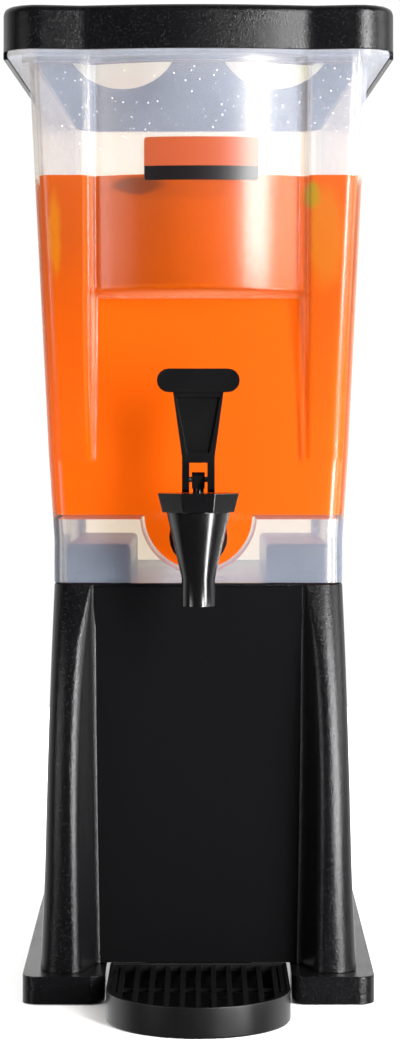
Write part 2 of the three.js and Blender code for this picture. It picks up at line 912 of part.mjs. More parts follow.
const cupZ = coneBottomZ + seatRise + seatGap;
const stemFootZ = cupZ + cupBottom + seatGap;
const springTop = bonnetTopZ - bonnetTopThick - seatGap;
const springBottom = springTop - springLength;

function makeStem() {
  const shoulderTop = springBottom - seatGap;
  const round = turned(
    [
      [0, stemFootZ],
      [stemFootRadius, stemFootZ],
      [stemFootRadius, stemFootZ + stemFootThick],
      [stemRadius, stemFootZ + stemFootThick],
      [stemRadius, shoulderTop - stemShoulderThick],
      [stemShoulderRadius, shoulderTop - stemShoulderThick],
      [stemShoulderRadius, shoulderTop],
      [stemRadius, shoulderTop],
      [stemRadius, pinZ],
      [0, pinZ],
    ],
    tapY,
    20,
  );
  const eyeBottom = pinZ - stemEyeDrop;
  const eye = [
    new THREE.Vector2(tapY - stemEyeHalf, eyeBottom),
    new THREE.Vector2(tapY + stemEyeHalf, eyeBottom),
    ...arc(tapY, pinZ, stemEyeHalf, 0, Math.PI, 8).map(
      (p) => new THREE.Vector2(p.x, pinZ + ((p.y - pinZ) * stemEyeHeight) / stemEyeHalf),
    ),
  ];
  const pinHole = drawnAlongX(
    arc(tapY, pinZ, pinRadius + seatGap, 0, Math.PI * 2, 16).slice(1),
    -stemEyeHalf - cutOver,
    stemEyeHalf + cutOver,
  );
  return round.add(drawnAlongX(eye, -stemEyeHalf, stemEyeHalf)).subtract(pinHole);
}

function makeSeatCup() {
  const top = cupZ + cupHeight;
  const hollowTop = stemFootZ + stemFootThick + seatGap;
  return turned(
    [
      [0, cupZ],
      [cupPlugRadius, cupZ],
      [cupSkirtRadius, top],
      [stemRadius + seatGap, top],
      [stemRadius + seatGap, hollowTop],
      [stemFootRadius + seatGap, hollowTop],
      [stemFootRadius + seatGap, cupZ + cupBottom],
      [0, cupZ + cupBottom],
    ],
    tapY,
    24,
  );
}

// One unbroken wire along a helix, closed at both ends
function makeSpring() {
  const stepsPerTurn = 8;
  const sides = 5;
  const steps = springTurns * stepsPerTurn;
  const climb = springLength - 2 * springWire;
  const places = [];
  const index = [];
  for (let i = 0; i <= steps; i += 1) {
    const angle = (i / stepsPerTurn) * Math.PI * 2;
    const z = springBottom + springWire + (climb * i) / steps;
    for (let k = 0; k < sides; k += 1) {
      const turn = (k / sides) * Math.PI * 2;
      const radius = springRadius + springWire * Math.cos(turn);
      const lift = springWire * Math.sin(turn);
      places.push(radius * Math.cos(angle), tapY + radius * Math.sin(angle), z + lift);
    }
  }
  for (let i = 0; i < steps; i += 1) {
    for (let k = 0; k < sides; k += 1) {
      const a = i * sides + k;
      const b = i * sides + ((k + 1) % sides);
      index.push(a, a + sides, b + sides);
      index.push(a, b + sides, b);
    }
  }
  for (let k = 1; k + 1 < sides; k += 1) {
    const end = steps * sides;
    index.push(0, k, k + 1);
    index.push(end, end + k + 1, end + k);
  }
  const geometry = new THREE.BufferGeometry();
  geometry.setAttribute("position", new THREE.Float32BufferAttribute(places, 3));
  geometry.setIndex(index);
  return toSolid(geometry);
}

function makePin() {
  const round = arc(tapY, pinZ, pinRadius, 0, Math.PI * 2, 16).slice(1);
  return drawnAlongX(round, -legOuter, legOuter);
}

// The lever's foot rolls on the bonnet: an involute, so that its lift grows evenly with its tilt
function footOutline() {
  const reach = pinRise - seatGap;
  const points = [new THREE.Vector2(tapY + footThick, pinZ - reach)];
  const steps = 8;
  for (let i = 0; i <= steps; i += 1) {
    const tilt = (leverTiltTop * i) / steps;
    const height = reach + liftPerRadian * tilt;
    const y = -height * Math.sin(tilt) - liftPerRadian * Math.cos(tilt);
    const z = -height * Math.cos(tilt) + liftPerRadian * Math.sin(tilt);
    points.push(new THREE.Vector2(tapY + y, pinZ + z));
  }
  const blade = bladeThick / 2;
  points.push(new THREE.Vector2(tapY - blade, pinZ + forkTop));
  points.push(new THREE.Vector2(tapY - blade, pinZ + leverBladeRise + bladeRim));
  points.push(new THREE.Vector2(tapY + blade, pinZ + leverBladeRise + bladeRim));
  points.push(new THREE.Vector2(tapY + footThick, pinZ));
  return points.reverse();
}

function bladeOutline(margin, bottom, top) {
  const low = legOuter - margin;
  const high = bladeTopHalf - margin;
  return [
    new THREE.Vector2(-low, bottom),
    new THREE.Vector2(low, bottom),
    new THREE.Vector2(high, top),
    new THREE.Vector2(-high, top),
  ];
}

function makeLever() {
  const blade = bladeThick / 2;
  const barLow = pinZ + barRise - barHeight / 2;
  const bladeLow = pinZ + leverBladeRise;
  let lever = drawnAlongX(footOutline(), -legOuter, legOuter);
  const bladeFace = bladeOutline(0, bladeLow, barLow + barHeight / 2);
  lever = lever.add(drawnAlongY(bladeFace, tapY - blade, tapY + blade));
  for (const face of [-1, 1]) {
    const outerY = tapY + face * (blade + cutOver);
    const innerY = tapY + face * (blade - bladeSink);
    const sink = bladeOutline(bladeRim, bladeLow + bladeRim, barLow - bladeRim);
    lever = lever.subtract(drawnAlongY(sink, Math.min(outerY, innerY), Math.max(outerY, innerY)));
  }
  const endRadius = barHeight / 2;
  const barFace = [
    ...arc(barHalf - endRadius, barLow + endRadius, endRadius, -Math.PI / 2, Math.PI / 2, 8),
    ...arc(endRadius - barHalf, barLow + endRadius, endRadius, Math.PI / 2, Math.PI * 1.5, 8),
  ];
  lever = lever.add(drawnAlongY(barFace, tapY - barThick / 2, tapY + barThick / 2));
  const fork = box(
    -forkHalf,
    forkHalf,
    tapY - pinRise * 3,
    tapY + pinRise * 3,
    pinZ - pinRise - cutOver,
    pinZ + forkTop,
  );
  const pinHole = drawnAlongX(
    arc(tapY, pinZ, pinRadius + seatGap, 0, Math.PI * 2, 16).slice(1),
    -legOuter - cutOver,
    legOuter + cutOver,
  );
  return lever.subtract(fork).subtract(pinHole);
}

// Assembly
const dispenser = new THREE.Group();
dispenser.name = "drink_dispenser";

dispenser.add(toMesh("stand", makeStand(), blackTextured));
dispenser.add(toMesh("front_panel", makePanel(), blackGlossy));
dispenser.add(toMesh("foot_rail_left", makeRail(-1), blackTextured));
dispenser.add(toMesh("foot_rail_right", makeRail(1), blackTextured));
for (const [place, x, y] of footPlaces()) {
  dispenser.add(toMesh(`rubber_foot_${place}`, makeFoot(x, y), darkRubber));
}
for (const [place, x, y] of screwPlaces()) {
  dispenser.add(toMesh(`foot_screw_${place}`, makeScrew(x, y), steel));
}
dispenser.add(toMesh("drip_tray", makeTray(), blackTextured));
dispenser.add(toMesh("drip_grid", makeGrid(), blackTextured));
dispenser.add(toMesh("tank", makeTank(), frosted));
dispenser.add(toMesh("tank_label", makeLabel(), labelPrint));
dispenser.add(toMesh("lid", makeLid(), blackTextured));
dispenser.add(toMesh("tap_body", makeTapBody(), blackGlossy));
dispenser.add(toMesh("tap_bonnet", makeBonnet(), blackGlossy));
dispenser.add(toMesh("tap_lever", makeLever(), blackGlossy));
dispenser.add(toMesh("lever_pin", makePin(), steel));
dispenser.add(toMesh("valve_stem", makeStem(), blackGlossy));
dispenser.add(toMesh("seat_cup", makeSeatCup(), silicone));
dispenser.add(toMesh("return_spring", makeSpring(), steel));
dispenser.add(toMesh("outer_washer", washer(wallY - seatGap - washerThick, tapFlangeRadius), silicone));
dispenser.add(toMesh("inner_washer", washer(wallY + tankWall + seatGap, innerWasherRadius), silicone));
dispenser.add(toMesh("shank_nut", makeNut(), blackTextured));

export default dispenser;
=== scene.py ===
import math
import random

import bmesh
import bpy
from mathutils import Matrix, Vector


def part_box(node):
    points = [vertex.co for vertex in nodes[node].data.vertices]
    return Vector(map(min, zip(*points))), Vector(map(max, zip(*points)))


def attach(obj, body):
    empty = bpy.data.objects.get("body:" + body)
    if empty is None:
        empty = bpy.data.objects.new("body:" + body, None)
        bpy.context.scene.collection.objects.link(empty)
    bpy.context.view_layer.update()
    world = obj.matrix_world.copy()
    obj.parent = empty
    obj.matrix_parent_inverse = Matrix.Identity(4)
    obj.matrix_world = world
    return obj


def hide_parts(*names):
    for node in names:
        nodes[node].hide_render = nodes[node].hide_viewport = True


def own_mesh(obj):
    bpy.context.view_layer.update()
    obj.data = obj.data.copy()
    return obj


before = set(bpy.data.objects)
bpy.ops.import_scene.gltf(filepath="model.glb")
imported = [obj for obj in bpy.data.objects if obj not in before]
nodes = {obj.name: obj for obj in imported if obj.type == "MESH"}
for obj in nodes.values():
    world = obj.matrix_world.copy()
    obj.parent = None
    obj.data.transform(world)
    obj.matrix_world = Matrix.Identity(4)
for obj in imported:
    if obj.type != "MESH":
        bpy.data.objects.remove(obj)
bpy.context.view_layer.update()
mm = 0.001
print("frame loaded")


# Modelling: one piece is chosen at a time, and its parts are picked by their place in mm

mergeNear = 0.005  # mm: nearer corners of a finished piece become one
mergeFrame = 0.02  # mm: the same for a copy of a node of the frame
flatTurn = 0.6  # degrees: faces that turn by less become one flat
softTurn = 40  # degrees: an edge that turns by more is softened
flatWeight = 80  # how strongly the larger faces set the shading beside them
leastReach = 0.2  # mm that a corner's arc takes of a side at least
cornerArc = 0.6  # share of a side that an outer corner's arc may take
evenArc = 0.5  # the same where the arcs of two corners may meet halfway
overrun = 4  # mm that a cutter reaches past what it opens
hair = 0.01  # mm that keeps two faces from lying in one plane
bayStrips = 12  # strips in each half of a bowed front


def choose(piece, *others):
    bpy.ops.object.select_all(action="DESELECT")
    for each in (piece, *others):
        each.select_set(True)
    bpy.context.view_layer.objects.active = piece


def started(name):
    piece = bpy.context.object
    piece.name = name
    piece.data.name = name
    choose(piece)
    return piece


def editing(piece, on=True):
    if on:
        choose(piece)
    bpy.ops.object.mode_set(mode="EDIT" if on else "OBJECT")


def pickEdges(piece, test):
    # in edit mode: the test sees the middle and the run of each edge
    bpy.ops.mesh.select_mode(type="EDGE")
    bpy.ops.mesh.select_all(action="DESELECT")
    mesh = bmesh.from_edit_mesh(piece.data)
    for edge in mesh.edges:
        ends = [vertex.co / mm for vertex in edge.verts]
        edge.select = test((ends[0] + ends[1]) / 2, ends[1] - ends[0])
    mesh.select_flush_mode()
    bmesh.update_edit_mesh(piece.data)


def addModifier(piece, kind, **settings):
    choose(piece)
    modifier = piece.modifiers.new(kind.lower(), kind)
    for key, value in settings.items():
        setattr(modifier, key, value)
    bpy.ops.object.modifier_apply(modifier=modifier.name)


def combine(piece, tool, operation):
    addModifier(
        piece, "BOOLEAN", object=tool, operation=operation, solver="EXACT",
        material_mode="TRANSFER",
    )
    bpy.data.objects.remove(tool)


def softEdges(piece, width, segments=2):
    addModifier(
        piece, "BEVEL", width=width * mm, segments=segments, limit_method="ANGLE",
        angle_limit=math.radians(softTurn), miter_outer="MITER_ARC", use_clamp_overlap=True,
    )


def smoothed(piece, angle=35):
    editing(piece)
    bpy.ops.mesh.select_all(action="SELECT")
    bpy.ops.mesh.remove_doubles(threshold=mergeNear * mm)
    editing(piece, False)
    bpy.ops.object.shade_smooth_by_angle(angle=math.radians(angle), keep_sharp_edges=False)
    addModifier(piece, "WEIGHTED_NORMAL", keep_sharp=True, weight=flatWeight)


def refined(node, name, edge=0.0, joinFlats=True):
    # a copy of a node of the frame, with merged corners, joined flats and soft edges
    choose(nodes[node])
    bpy.ops.object.duplicate()
    piece = started(name)
    editing(piece)
    bpy.ops.mesh.select_all(action="SELECT")
    bpy.ops.mesh.remove_doubles(threshold=mergeFrame * mm)
    if joinFlats:
        bpy.ops.mesh.dissolve_limited(angle_limit=math.radians(flatTurn))
    editing(piece, False)
    if edge:
        softEdges(piece, edge)
    smoothed(piece)
    return piece


def placed(piece, body, slot, material, *replacedNodes):
    if material:
        piece.data.materials.clear()
        piece.data.materials.append(material)
    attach(piece, body)
    if replacedNodes:
        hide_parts(*replacedNodes)
    return piece


def along(place, stops):
    # the value at a place between stops, each a place and its value
    for (low, first), (high, last) in zip(stops, stops[1:]):
        if place <= high:
            return first + (last - first) * max(0.0, (place - low) / (high - low))
    return stops[-1][1]


def rounded(corners, steps=5):
    # a closed outline: each corner has x, y, a radius, and the share of a side for its arc
    points = []
    for index, (x, y, radius, share) in enumerate(corners):
        here = Vector((x, y))
        if radius <= 0:
            points.append(here)
            continue
        before = Vector(corners[index - 1][:2]) - here
        after = Vector(corners[(index + 1) % len(corners)][:2]) - here
        half = before.angle(after) / 2
        reach = max(radius / math.tan(half), leastReach)
        reach = min(reach, share * before.length, share * after.length)
        start, end = here + before.normalized() * reach, here + after.normalized() * reach
        for step in range(steps + 1):
            t = step / steps
            a, b, c = (1 - t) ** 2, 2 * t * (1 - t) * math.sin(half), t * t
            points.append((start * a + here * b + end * c) / (a + b + c))
    return points


def mirrored(left):
    # the whole outline, from the corners of its left half
    right = [(-x, y, radius, share) for x, y, radius, share in reversed(left) if x < 0]
    return rounded(left + right)


def raised(name, rings):
    # a disc is laid on the first ring and extruded up from ring to ring
    bpy.ops.mesh.primitive_circle_add(vertices=len(rings[0][1]), radius=mm, fill_type="NGON")
    piece = started(name)
    for vertex, (x, y) in zip(piece.data.vertices, rings[0][1]):
        vertex.co = Vector((x, y, rings[0][0])) * mm
    editing(piece)
    bpy.ops.mesh.select_all(action="SELECT")
    for z, points in rings[1:]:
        bpy.ops.mesh.extrude_region_move(TRANSFORM_OT_translate={"value": (0, 0, mm)})
        mesh = bmesh.from_edit_mesh(piece.data)
        top = [vertex for vertex in mesh.verts if vertex.select]
        top.sort(key=lambda vertex: vertex.index)
        for vertex, (x, y) in zip(top, points):
            vertex.co = Vector((x, y, z)) * mm
        bmesh.update_edit_mesh(piece.data)
    bpy.ops.mesh.select_all(action="SELECT")
    bpy.ops.mesh.normals_make_consistent(inside=False)
    editing(piece, False)
    return piece


def softRings(plan, low, high, softLow, softHigh, steps=4):
    # rings of one plan between two heights, with an edge of its own radius at either end
    rings = []
    for step in range(steps + 1):
        turn = math.pi / 2 * step / steps
        z = low + softLow * (1 - math.cos(turn))
        rings.append((z, plan(softLow * (1 - math.sin(turn)))))
    for step in range(steps + 1):
        turn = math.pi / 2 * step / steps
        z = high - softHigh * (1 - math.sin(turn))
        rings.append((z, plan(softHigh * (1 - math.cos(turn)))))
    return rings


def bar(place, radius, length, alongY=True, sides=96):
    # a round bar, lying from front to back or standing
    turn = (math.pi / 2, 0, 0) if alongY else (0, 0, 0)
    bpy.ops.mesh.primitive_cylinder_add(
        vertices=sides, radius=radius * mm, depth=length * mm,
        location=Vector(place) * mm, rotation=turn,
    )
    piece = started("bar")
    bpy.ops.object.transform_apply(location=True, rotation=True, scale=True)
    return piece


# Material helpers

noiseSpan = {"From_Min": 0.3, "From_Max": 0.7}  # nearly all of a noise lies between these
softDetail, fineDetail = 2.0, 3.0


def tone(code):
    # an sRGB hex value as linear red, green and blue, by the standard curve
    def linear(part):
        value = int(part, 16) / 255
        return value / 12.92 if value <= 0.04045 else ((value + 0.055) / 1.055) ** 2.4
    return (linear(code[1:3]), linear(code[3:5]), linear(code[5:7]), 1.0)


def newMaterial(name):
    material = bpy.data.materials.new(name)
    material.use_nodes = True
    material.node_tree.nodes.clear()
    return material


def addNode(owner, kind, **settings):
    # a setting is a property of the node, or one of its inputs: a value or another node's output
    node = owner.node_tree.nodes.new(kind)
    for key, value in settings.items():
        if hasattr(node, key):
            setattr(node, key, value)
            continue
        if key.startswith("input"):
            socket = node.inputs[int(key.removeprefix("input"))]
        else:
            socket = node.inputs[key.replace("_", " ")]
        if isinstance(value, bpy.types.NodeSocket):
            owner.node_tree.links.new(value, socket)
        else:
            socket.default_value = value
    return node.outputs


# Black plastics, rubber, silicone and steel

grain = {
    "colour": "#060607",
    "pebbleMm": 0.58,
    "depthMm": 0.1,
    "pebbleSmooth": 0.5,
    "lumpShare": 1.3,
    "wearMm": 45,
    "roughness": 0.2,
    "smoother": 0.04,
    "rougher": 0.05,
    "shine": 0.31,
    "speckle": "#1d1d1f",
    "speckleFrom": 0.55,
    "speckleTo": 0.72,
}


def grainedAbs():
    # black ABS from a spark-eroded mould: a pebble grain that sparkles where light grazes it,
    # drawn about twice as coarse as the real grain so that it shows
    material = newMaterial("grainedAbs")
    place = addNode(material, "ShaderNodeTexCoord")["Object"]
    pebble = addNode(
        material, "ShaderNodeTexVoronoi", feature="SMOOTH_F1", Vector=place,
        Scale=1 / (grain["pebbleMm"] * mm), Smoothness=grain["pebbleSmooth"],
    )["Distance"]
    lumps = addNode(
        material, "ShaderNodeTexNoise", Vector=place,
        Scale=1 / (grain["pebbleMm"] * grain["lumpShare"] * mm), Detail=softDetail,
    )["Fac"]
    height = addNode(material, "ShaderNodeMath", operation="ADD", input0=pebble, input1=lumps)[0]
    bump = addNode(
        material, "ShaderNodeBump", Strength=1.0, Distance=grain["depthMm"] * mm, Height=height,
    )["Normal"]
    wear = addNode(
        material, "ShaderNodeTexNoise", Vector=place, Scale=1 / (grain["wearMm"] * mm),
        Detail=softDetail,
    )["Fac"]
    rough = addNode(
        material, "ShaderNodeMapRange", Value=wear, **noiseSpan,
        To_Min=grain["roughness"] - grain["smoother"], To_Max=grain["roughness"] + grain["rougher"],
    )["Result"]
    glint = addNode(
        material, "ShaderNodeMapRange", Value=lumps,
        From_Min=grain["speckleFrom"], From_Max=grain["speckleTo"],
    )["Result"]
    # lighter specks on the grain's lumps, painted into the colour: a painted sparkle that stands in
    # for glints on the grain
    colour = addNode(
        material, "ShaderNodeMix", data_type="RGBA", input0=glint,
        input6=tone(grain["colour"]), input7=tone(grain["speckle"]),
    )[2]
    shader = addNode(
        material, "ShaderNodeBsdfPrincipled", Base_Color=colour,
        Specular_IOR_Level=grain["shine"], Roughness=rough, Normal=bump,
    )[0]
    addNode(material, "ShaderNodeOutputMaterial", Surface=shader)
    return material


# colour, roughness, shine, grain and its depth in mm, and glow
plainFinishes = {
    # ABS sheet from a polished tool: nearly a mirror, with faint waves
    "polishedAbs": ("#0b0b0c", 0.12, 0.12, 14, 0.02, 0.0),
    # ABS from a satin tool: soft highlights and a very fine grain
    "satinAbs": ("#0a0a0b", 0.3, 0.5, 0.9, 0.03, 0.0),
    # acetal, the tap's slippery plastic: clear highlights over slight moulding marks
    "polishedAcetal": ("#070708", 0.19, 0.6, 6, 0.03, 0.0),
    # the undersides of the lid's finger bowls: black ABS painted pale, with a painted glow,
    # standing in for the bright reflection seen on them
    "paleGlowAbs": ("#b4dadd", 0.35, 0.4, 5, 0.2, 0.2),
    # moulded rubber: dull all over
    "mattRubber": ("#0b0b0b", 0.75, 0.25, 0.8, 0.05, 0.0),
    # moulded silicone: milky and soft
    "milkySilicone": ("#d6d6d0", 0.5, 0.4, 0.9, 0.03, 0.0),
}
plainWear = {"sizeMm": 25, "smoothest": 0.85, "roughest": 1.2, "bump": 0.4, "glow": "#fff8e8"}


def plainMoulding(name):
    # a plain plastic that handling has left a little smoother here and rougher there
    colour, roughness, shine, grainMm, depthMm, glow = plainFinishes[name]
    material = newMaterial(name)
    place = addNode(material, "ShaderNodeTexCoord")["Object"]
    wear = addNode(
        material, "ShaderNodeTexNoise", Vector=place, Scale=1 / (plainWear["sizeMm"] * mm),
        Detail=fineDetail,
    )["Fac"]
    rough = addNode(
        material, "ShaderNodeMapRange", Value=wear, **noiseSpan,
        To_Min=roughness * plainWear["smoothest"], To_Max=roughness * plainWear["roughest"],
    )["Result"]
    lumps = addNode(
        material, "ShaderNodeTexNoise", Vector=place, Scale=1 / (grainMm * mm), Detail=fineDetail,
    )["Fac"]
    bump = addNode(
        material, "ShaderNodeBump", Strength=plainWear["bump"], Distance=depthMm * mm, Height=lumps,
    )["Normal"]
    # a finish with a glow gives off a painted glow, light that no lamp casts
    shader = addNode(
        material, "ShaderNodeBsdfPrincipled", Base_Color=tone(colour), Specular_IOR_Level=shine,
        Roughness=rough, Normal=bump,
        Emission_Color=tone(plainWear["glow"]), Emission_Strength=glow,
    )[0]
    addNode(material, "ShaderNodeOutputMaterial", Surface=shader)
    return material


steelFinish = {"colour": "#c4c5c7", "drawMm": 0.8, "roughLow": 0.2, "roughHigh": 0.34}


def stainlessSteel():
    # drawn stainless wire and turned pins: bright, with a fine haze along them
    material = newMaterial("stainlessSteel")
    place = addNode(material, "ShaderNodeTexCoord")["Object"]
    lines = addNode(
        material, "ShaderNodeTexNoise", Vector=place, Scale=1 / (steelFinish["drawMm"] * mm),
        Detail=fineDetail,
    )["Fac"]
    rough = addNode(
        material, "ShaderNodeMapRange", Value=lines, **noiseSpan,
        To_Min=steelFinish["roughLow"], To_Max=steelFinish["roughHigh"],
    )["Result"]
    shader = addNode(
        material, "ShaderNodeBsdfPrincipled", Base_Color=tone(steelFinish["colour"]),
        Metallic=1.0, Roughness=rough,
    )[0]
    addNode(material, "ShaderNodeOutputMaterial", Surface=shader)
    return material


black = grainedAbs()
panelGloss = plainMoulding("polishedAbs")
traySatin = plainMoulding("satinAbs")
tapGloss = plainMoulding("polishedAcetal")
bowlGlow = plainMoulding("paleGlowAbs")
rubber = plainMoulding("mattRubber")
siliconeMilk = plainMoulding("milkySilicone")
steel = stainlessSteel()
print("plastics and steel made")


# The drink

drink = {
    "level": 457.5,
    "gap": 0.15,
    "colour": "#f46400",
    "deepColour": "#ca5404",
    "deepFrom": 388.0,
    "deepTo": 396.0,
    "fadeFrom": 310.0,
    "fadeTo": 420.0,
    "bulgeFront": -96.0,
    "bulgeSoft": 3.0,
    "cloudMm": 60,
    "cloudLow": 0.8,
    "cloudHigh": 1.0,
    "skin": 0.4,
    "roughness": 0.3,
    "shine": 0.05,
    "glow": 0.72,
}

# blurred slices of fruit, pulp, and a painted pale glow along the floor that stands in for light
# coming through the drink, all behind the wall:
# x, y, z, half width and half height in mm, colour, and how far it covers the drink
fruit = {
    "rind": (-34.0, -128.0, 451.5, 17.0, 5.5, "#5a3420", 0.75),
    "lime": (63.0, -122.0, 446.0, 5.5, 9.0, "#8f8a10", 0.8),
    "lemonLeft": (-80.0, -122.0, 424.0, 4.2, 27.0, "#d8860c", 0.6),
    "lemonRight": (71.0, -122.0, 422.0, 11.0, 34.0, "#cc7a14", 0.6),
    "pulp": (0.0, -128.0, 450.0, 62.0, 7.0, "#a8441c", 0.3),
    # a painted glow, not a real haze
    "floorGlow": (0.0, -122.0, 267.0, 170.0, 8.0, "#f2b090", 0.6),
}
fruitBlur = {"deep": 22.0, "wave": 5.0, "waveMm": 11, "from": 0.55, "to": 1.15}


def orangeSquash():
    # cloudy orange squash: no shine of its own behind the wall, a painted glow in its own colour
    # for the light that comes through it, and it looks a little redder behind the centre bulge
    material = newMaterial("orangeSquash")
    place = addNode(material, "ShaderNodeTexCoord")["Object"]
    spot = addNode(material, "ShaderNodeSeparateXYZ", Vector=place)
    inBulge = addNode(
        material, "ShaderNodeMapRange", Value=spot["Z"],
        From_Min=drink["deepFrom"] * mm, From_Max=drink["deepTo"] * mm,
    )["Result"]
    around = addNode(
        material, "ShaderNodeMapRange", Value=spot["Z"],
        From_Min=drink["fadeFrom"] * mm, From_Max=drink["fadeTo"] * mm,
    )["Result"]
    across = addNode(
        material, "ShaderNodeMapRange",
        Value=addNode(material, "ShaderNodeMath", operation="ABSOLUTE", input0=spot["X"])[0],
        From_Min=(tank["bayHalf"] - drink["bulgeSoft"]) * mm, From_Max=tank["bayHalf"] * mm,
        To_Min=1.0, To_Max=0.0,
    )["Result"]
    forward = addNode(
        material, "ShaderNodeMapRange", Value=spot["Y"], From_Min=drink["bulgeFront"] * mm,
        From_Max=(drink["bulgeFront"] + drink["bulgeSoft"]) * mm, To_Min=1.0, To_Max=0.0,
    )["Result"]
    share = addNode(
        material, "ShaderNodeMix", data_type="FLOAT",
        input0=addNode(
            material, "ShaderNodeMath", operation="MULTIPLY", input0=across, input1=forward,
        )[0],
        input2=around, input3=inBulge,
    )[0]
    cloud = addNode(
        material, "ShaderNodeTexNoise", Vector=place, Scale=1 / (drink["cloudMm"] * mm),
        Detail=softDetail,
    )["Fac"]
    uneven = addNode(
        material, "ShaderNodeMapRange", Value=cloud, **noiseSpan,
        To_Min=drink["cloudLow"], To_Max=drink["cloudHigh"],
    )["Result"]
    mixed = addNode(
        material, "ShaderNodeMath", operation="MULTIPLY", input0=share, input1=uneven,
    )[0]
    colour = addNode(
        material, "ShaderNodeMix", data_type="RGBA", input0=mixed,
        input6=tone(drink["colour"]), input7=tone(drink["deepColour"]),
    )[2]
    wave = addNode(
        material, "ShaderNodeTexNoise", Vector=place, Scale=1 / (fruitBlur["waveMm"] * mm),
        Detail=softDetail,
    )["Color"]
    bent = addNode(
        material, "ShaderNodeVectorMath", operation="MULTIPLY_ADD",
        input0=wave, input1=(fruitBlur["wave"] * mm,) * 3, input2=place,
    )["Vector"]
    for x, y, z, halfWidth, halfHeight, flesh, strength in fruit.values():
        middle = [(value + fruitBlur["wave"] / 2) * mm for value in (x, y, z)]
        apart = addNode(
            material, "ShaderNodeVectorMath", operation="SUBTRACT", input0=bent, input1=middle,
        )["Vector"]
        halves = [1 / (half * mm) for half in (halfWidth, fruitBlur["deep"], halfHeight)]
        reach = addNode(
            material, "ShaderNodeVectorMath", operation="LENGTH",
            input0=addNode(
                material, "ShaderNodeVectorMath", operation="MULTIPLY", input0=apart,
                input1=halves,
            )["Vector"],
        )["Value"]
        near = addNode(
            material, "ShaderNodeMapRange", interpolation_type="SMOOTHSTEP", Value=reach,
            From_Min=fruitBlur["from"], From_Max=fruitBlur["to"], To_Min=strength, To_Max=0.0,
        )["Result"]
        colour = addNode(
            material, "ShaderNodeMix", data_type="RGBA", input0=near, input6=colour,
            input7=tone(flesh),
        )[2]
    skin = addNode(
        material, "ShaderNodeVectorMath", operation="SCALE", input0=colour, Scale=drink["skin"],
    )["Vector"]
    # the drink's colour is also given off as a painted glow
    shader = addNode(
        material, "ShaderNodeBsdfPrincipled", Base_Color=skin, Roughness=drink["roughness"],
        Specular_IOR_Level=drink["shine"], Emission_Color=colour, Emission_Strength=drink["glow"],
    )[0]
    addNode(material, "ShaderNodeOutputMaterial", Surface=shader)
    return material


# The tank's plan at every height, in mm

tank = {
    "wall": 2.5,
    "bottom": 230.0,
    "mouth": 521.0,
    "top": 524.1,
    "wallY": -101.0,
    "half": [(254, 81.6), (300, 84.7), (521, 94.3)],
    "front": [(297, -101.0), (521, -134.0)],
    "back": [(254, 194.4), (521, 207.4)],
    "narrow": [(254, 0.0), (521, 9.0)],
    "corner": 10.0,
    "backCorner": 20.0,
    "bayHalf": 58.0,
    "bayFlank": 2.0,
    "bayNotch": 7.0,
    "bayBow": 14.5,
    "crest": 3.0,
    "crestArc": 0.38,
    "root": 2.0,
    "rootArc": 0.42,
    "ledge": 390.0,
    "ledgeRound": 5.0,
    "ledgeSteps": [0.0, 0.02, 0.08, 0.18, 0.32, 0.5, 0.72, 1.0],
    "levels": [254, 297, 300, 330, 360, 420, 450, 485],
    "collarOut": 4.0,
    "collarDrop": 2.5,
    "collarUnder": 1.0,
    "footStep": 1.0,
    "floor": 268.0,
    "sumpRadius": 33.0,
    "sumpLength": 62.0,
    "shankZ": 256.0,
    "shankHole": 8.3,
    "holeLength": 12.0,
}


def bayFace(z, inset=0.0):
    # the bay's half width, the y of its edge and its bow, drawn in by the inset
    share = min(max((z - inset - tank["ledge"]) / tank["ledgeRound"], 0.0), 1.0)
    swell = math.sqrt(1 - (1 - share) ** 2)
    bow = tank["bayBow"] * swell
    slope = 2 * bow / tank["bayHalf"]
    shift = inset * (math.sqrt(1 + slope * slope) + slope)
    lobeEdge = along(z, tank["front"]) + tank["bayNotch"]
    edge = tank["wallY"] + (lobeEdge - tank["wallY"]) * swell + shift
    return tank["bayHalf"] + inset, edge, max(bow + shift - inset, 0.0)


def tankPlan(z, inset=0.0):
    bay, edge, bow = bayFace(z, inset)
    front = along(z, tank["front"]) + inset
    back = along(z, tank["back"]) - inset
    half = along(z, tank["half"]) - inset
    left = [
        (along(z, tank["narrow"]) - half, back, tank["backCorner"] - inset, cornerArc),
        (-half, front, tank["corner"] - inset, cornerArc),
        (-bay - tank["bayFlank"], front, tank["crest"], tank["crestArc"]),
        (-bay, edge, tank["root"], tank["rootArc"]),
    ]
    for step in range(1, bayStrips):
        share = step / bayStrips - 1
        left.append((bay * share, edge - bow * (1 - share * share), 0, 0))
    left.append((0.0, edge - bow, 0, 0))
    return mirrored(left)


def tankRings(low, high, inset=0.0):
    ledge = [tank["ledge"] + inset + tank["ledgeRound"] * step for step in tank["ledgeSteps"]]
    between = sorted(z for z in tank["levels"] + ledge if low < z < high)
    return [(z, tankPlan(z, inset)) for z in [low, *between, high]]


def lidPlan(inset=0.0):
    # the lid's plan, shared with the tank's rim: lobes that slant back to a bowed centre
    half = lid["half"] - inset
    left = [
        (lid["narrow"] - half, lid["back"] - inset, lid["backCorner"] - inset, cornerArc),
        (-half, lid["front"] + inset, lid["corner"] - inset, cornerArc),
        (-lid["bayHalf"] - inset, lid["edge"] + inset, lid["crease"], lid["creaseArc"]),
    ]
    for step in range(lid["creaseStrips"], bayStrips):
        share = step / bayStrips - 1
        y = lid["edge"] + inset - lid["bow"] * (1 - share * share)
        left.append((lid["bayHalf"] * share, y, 0, 0))
    left.append((0.0, lid["edge"] + inset - lid["bow"], 0, 0))
    return mirrored(left)


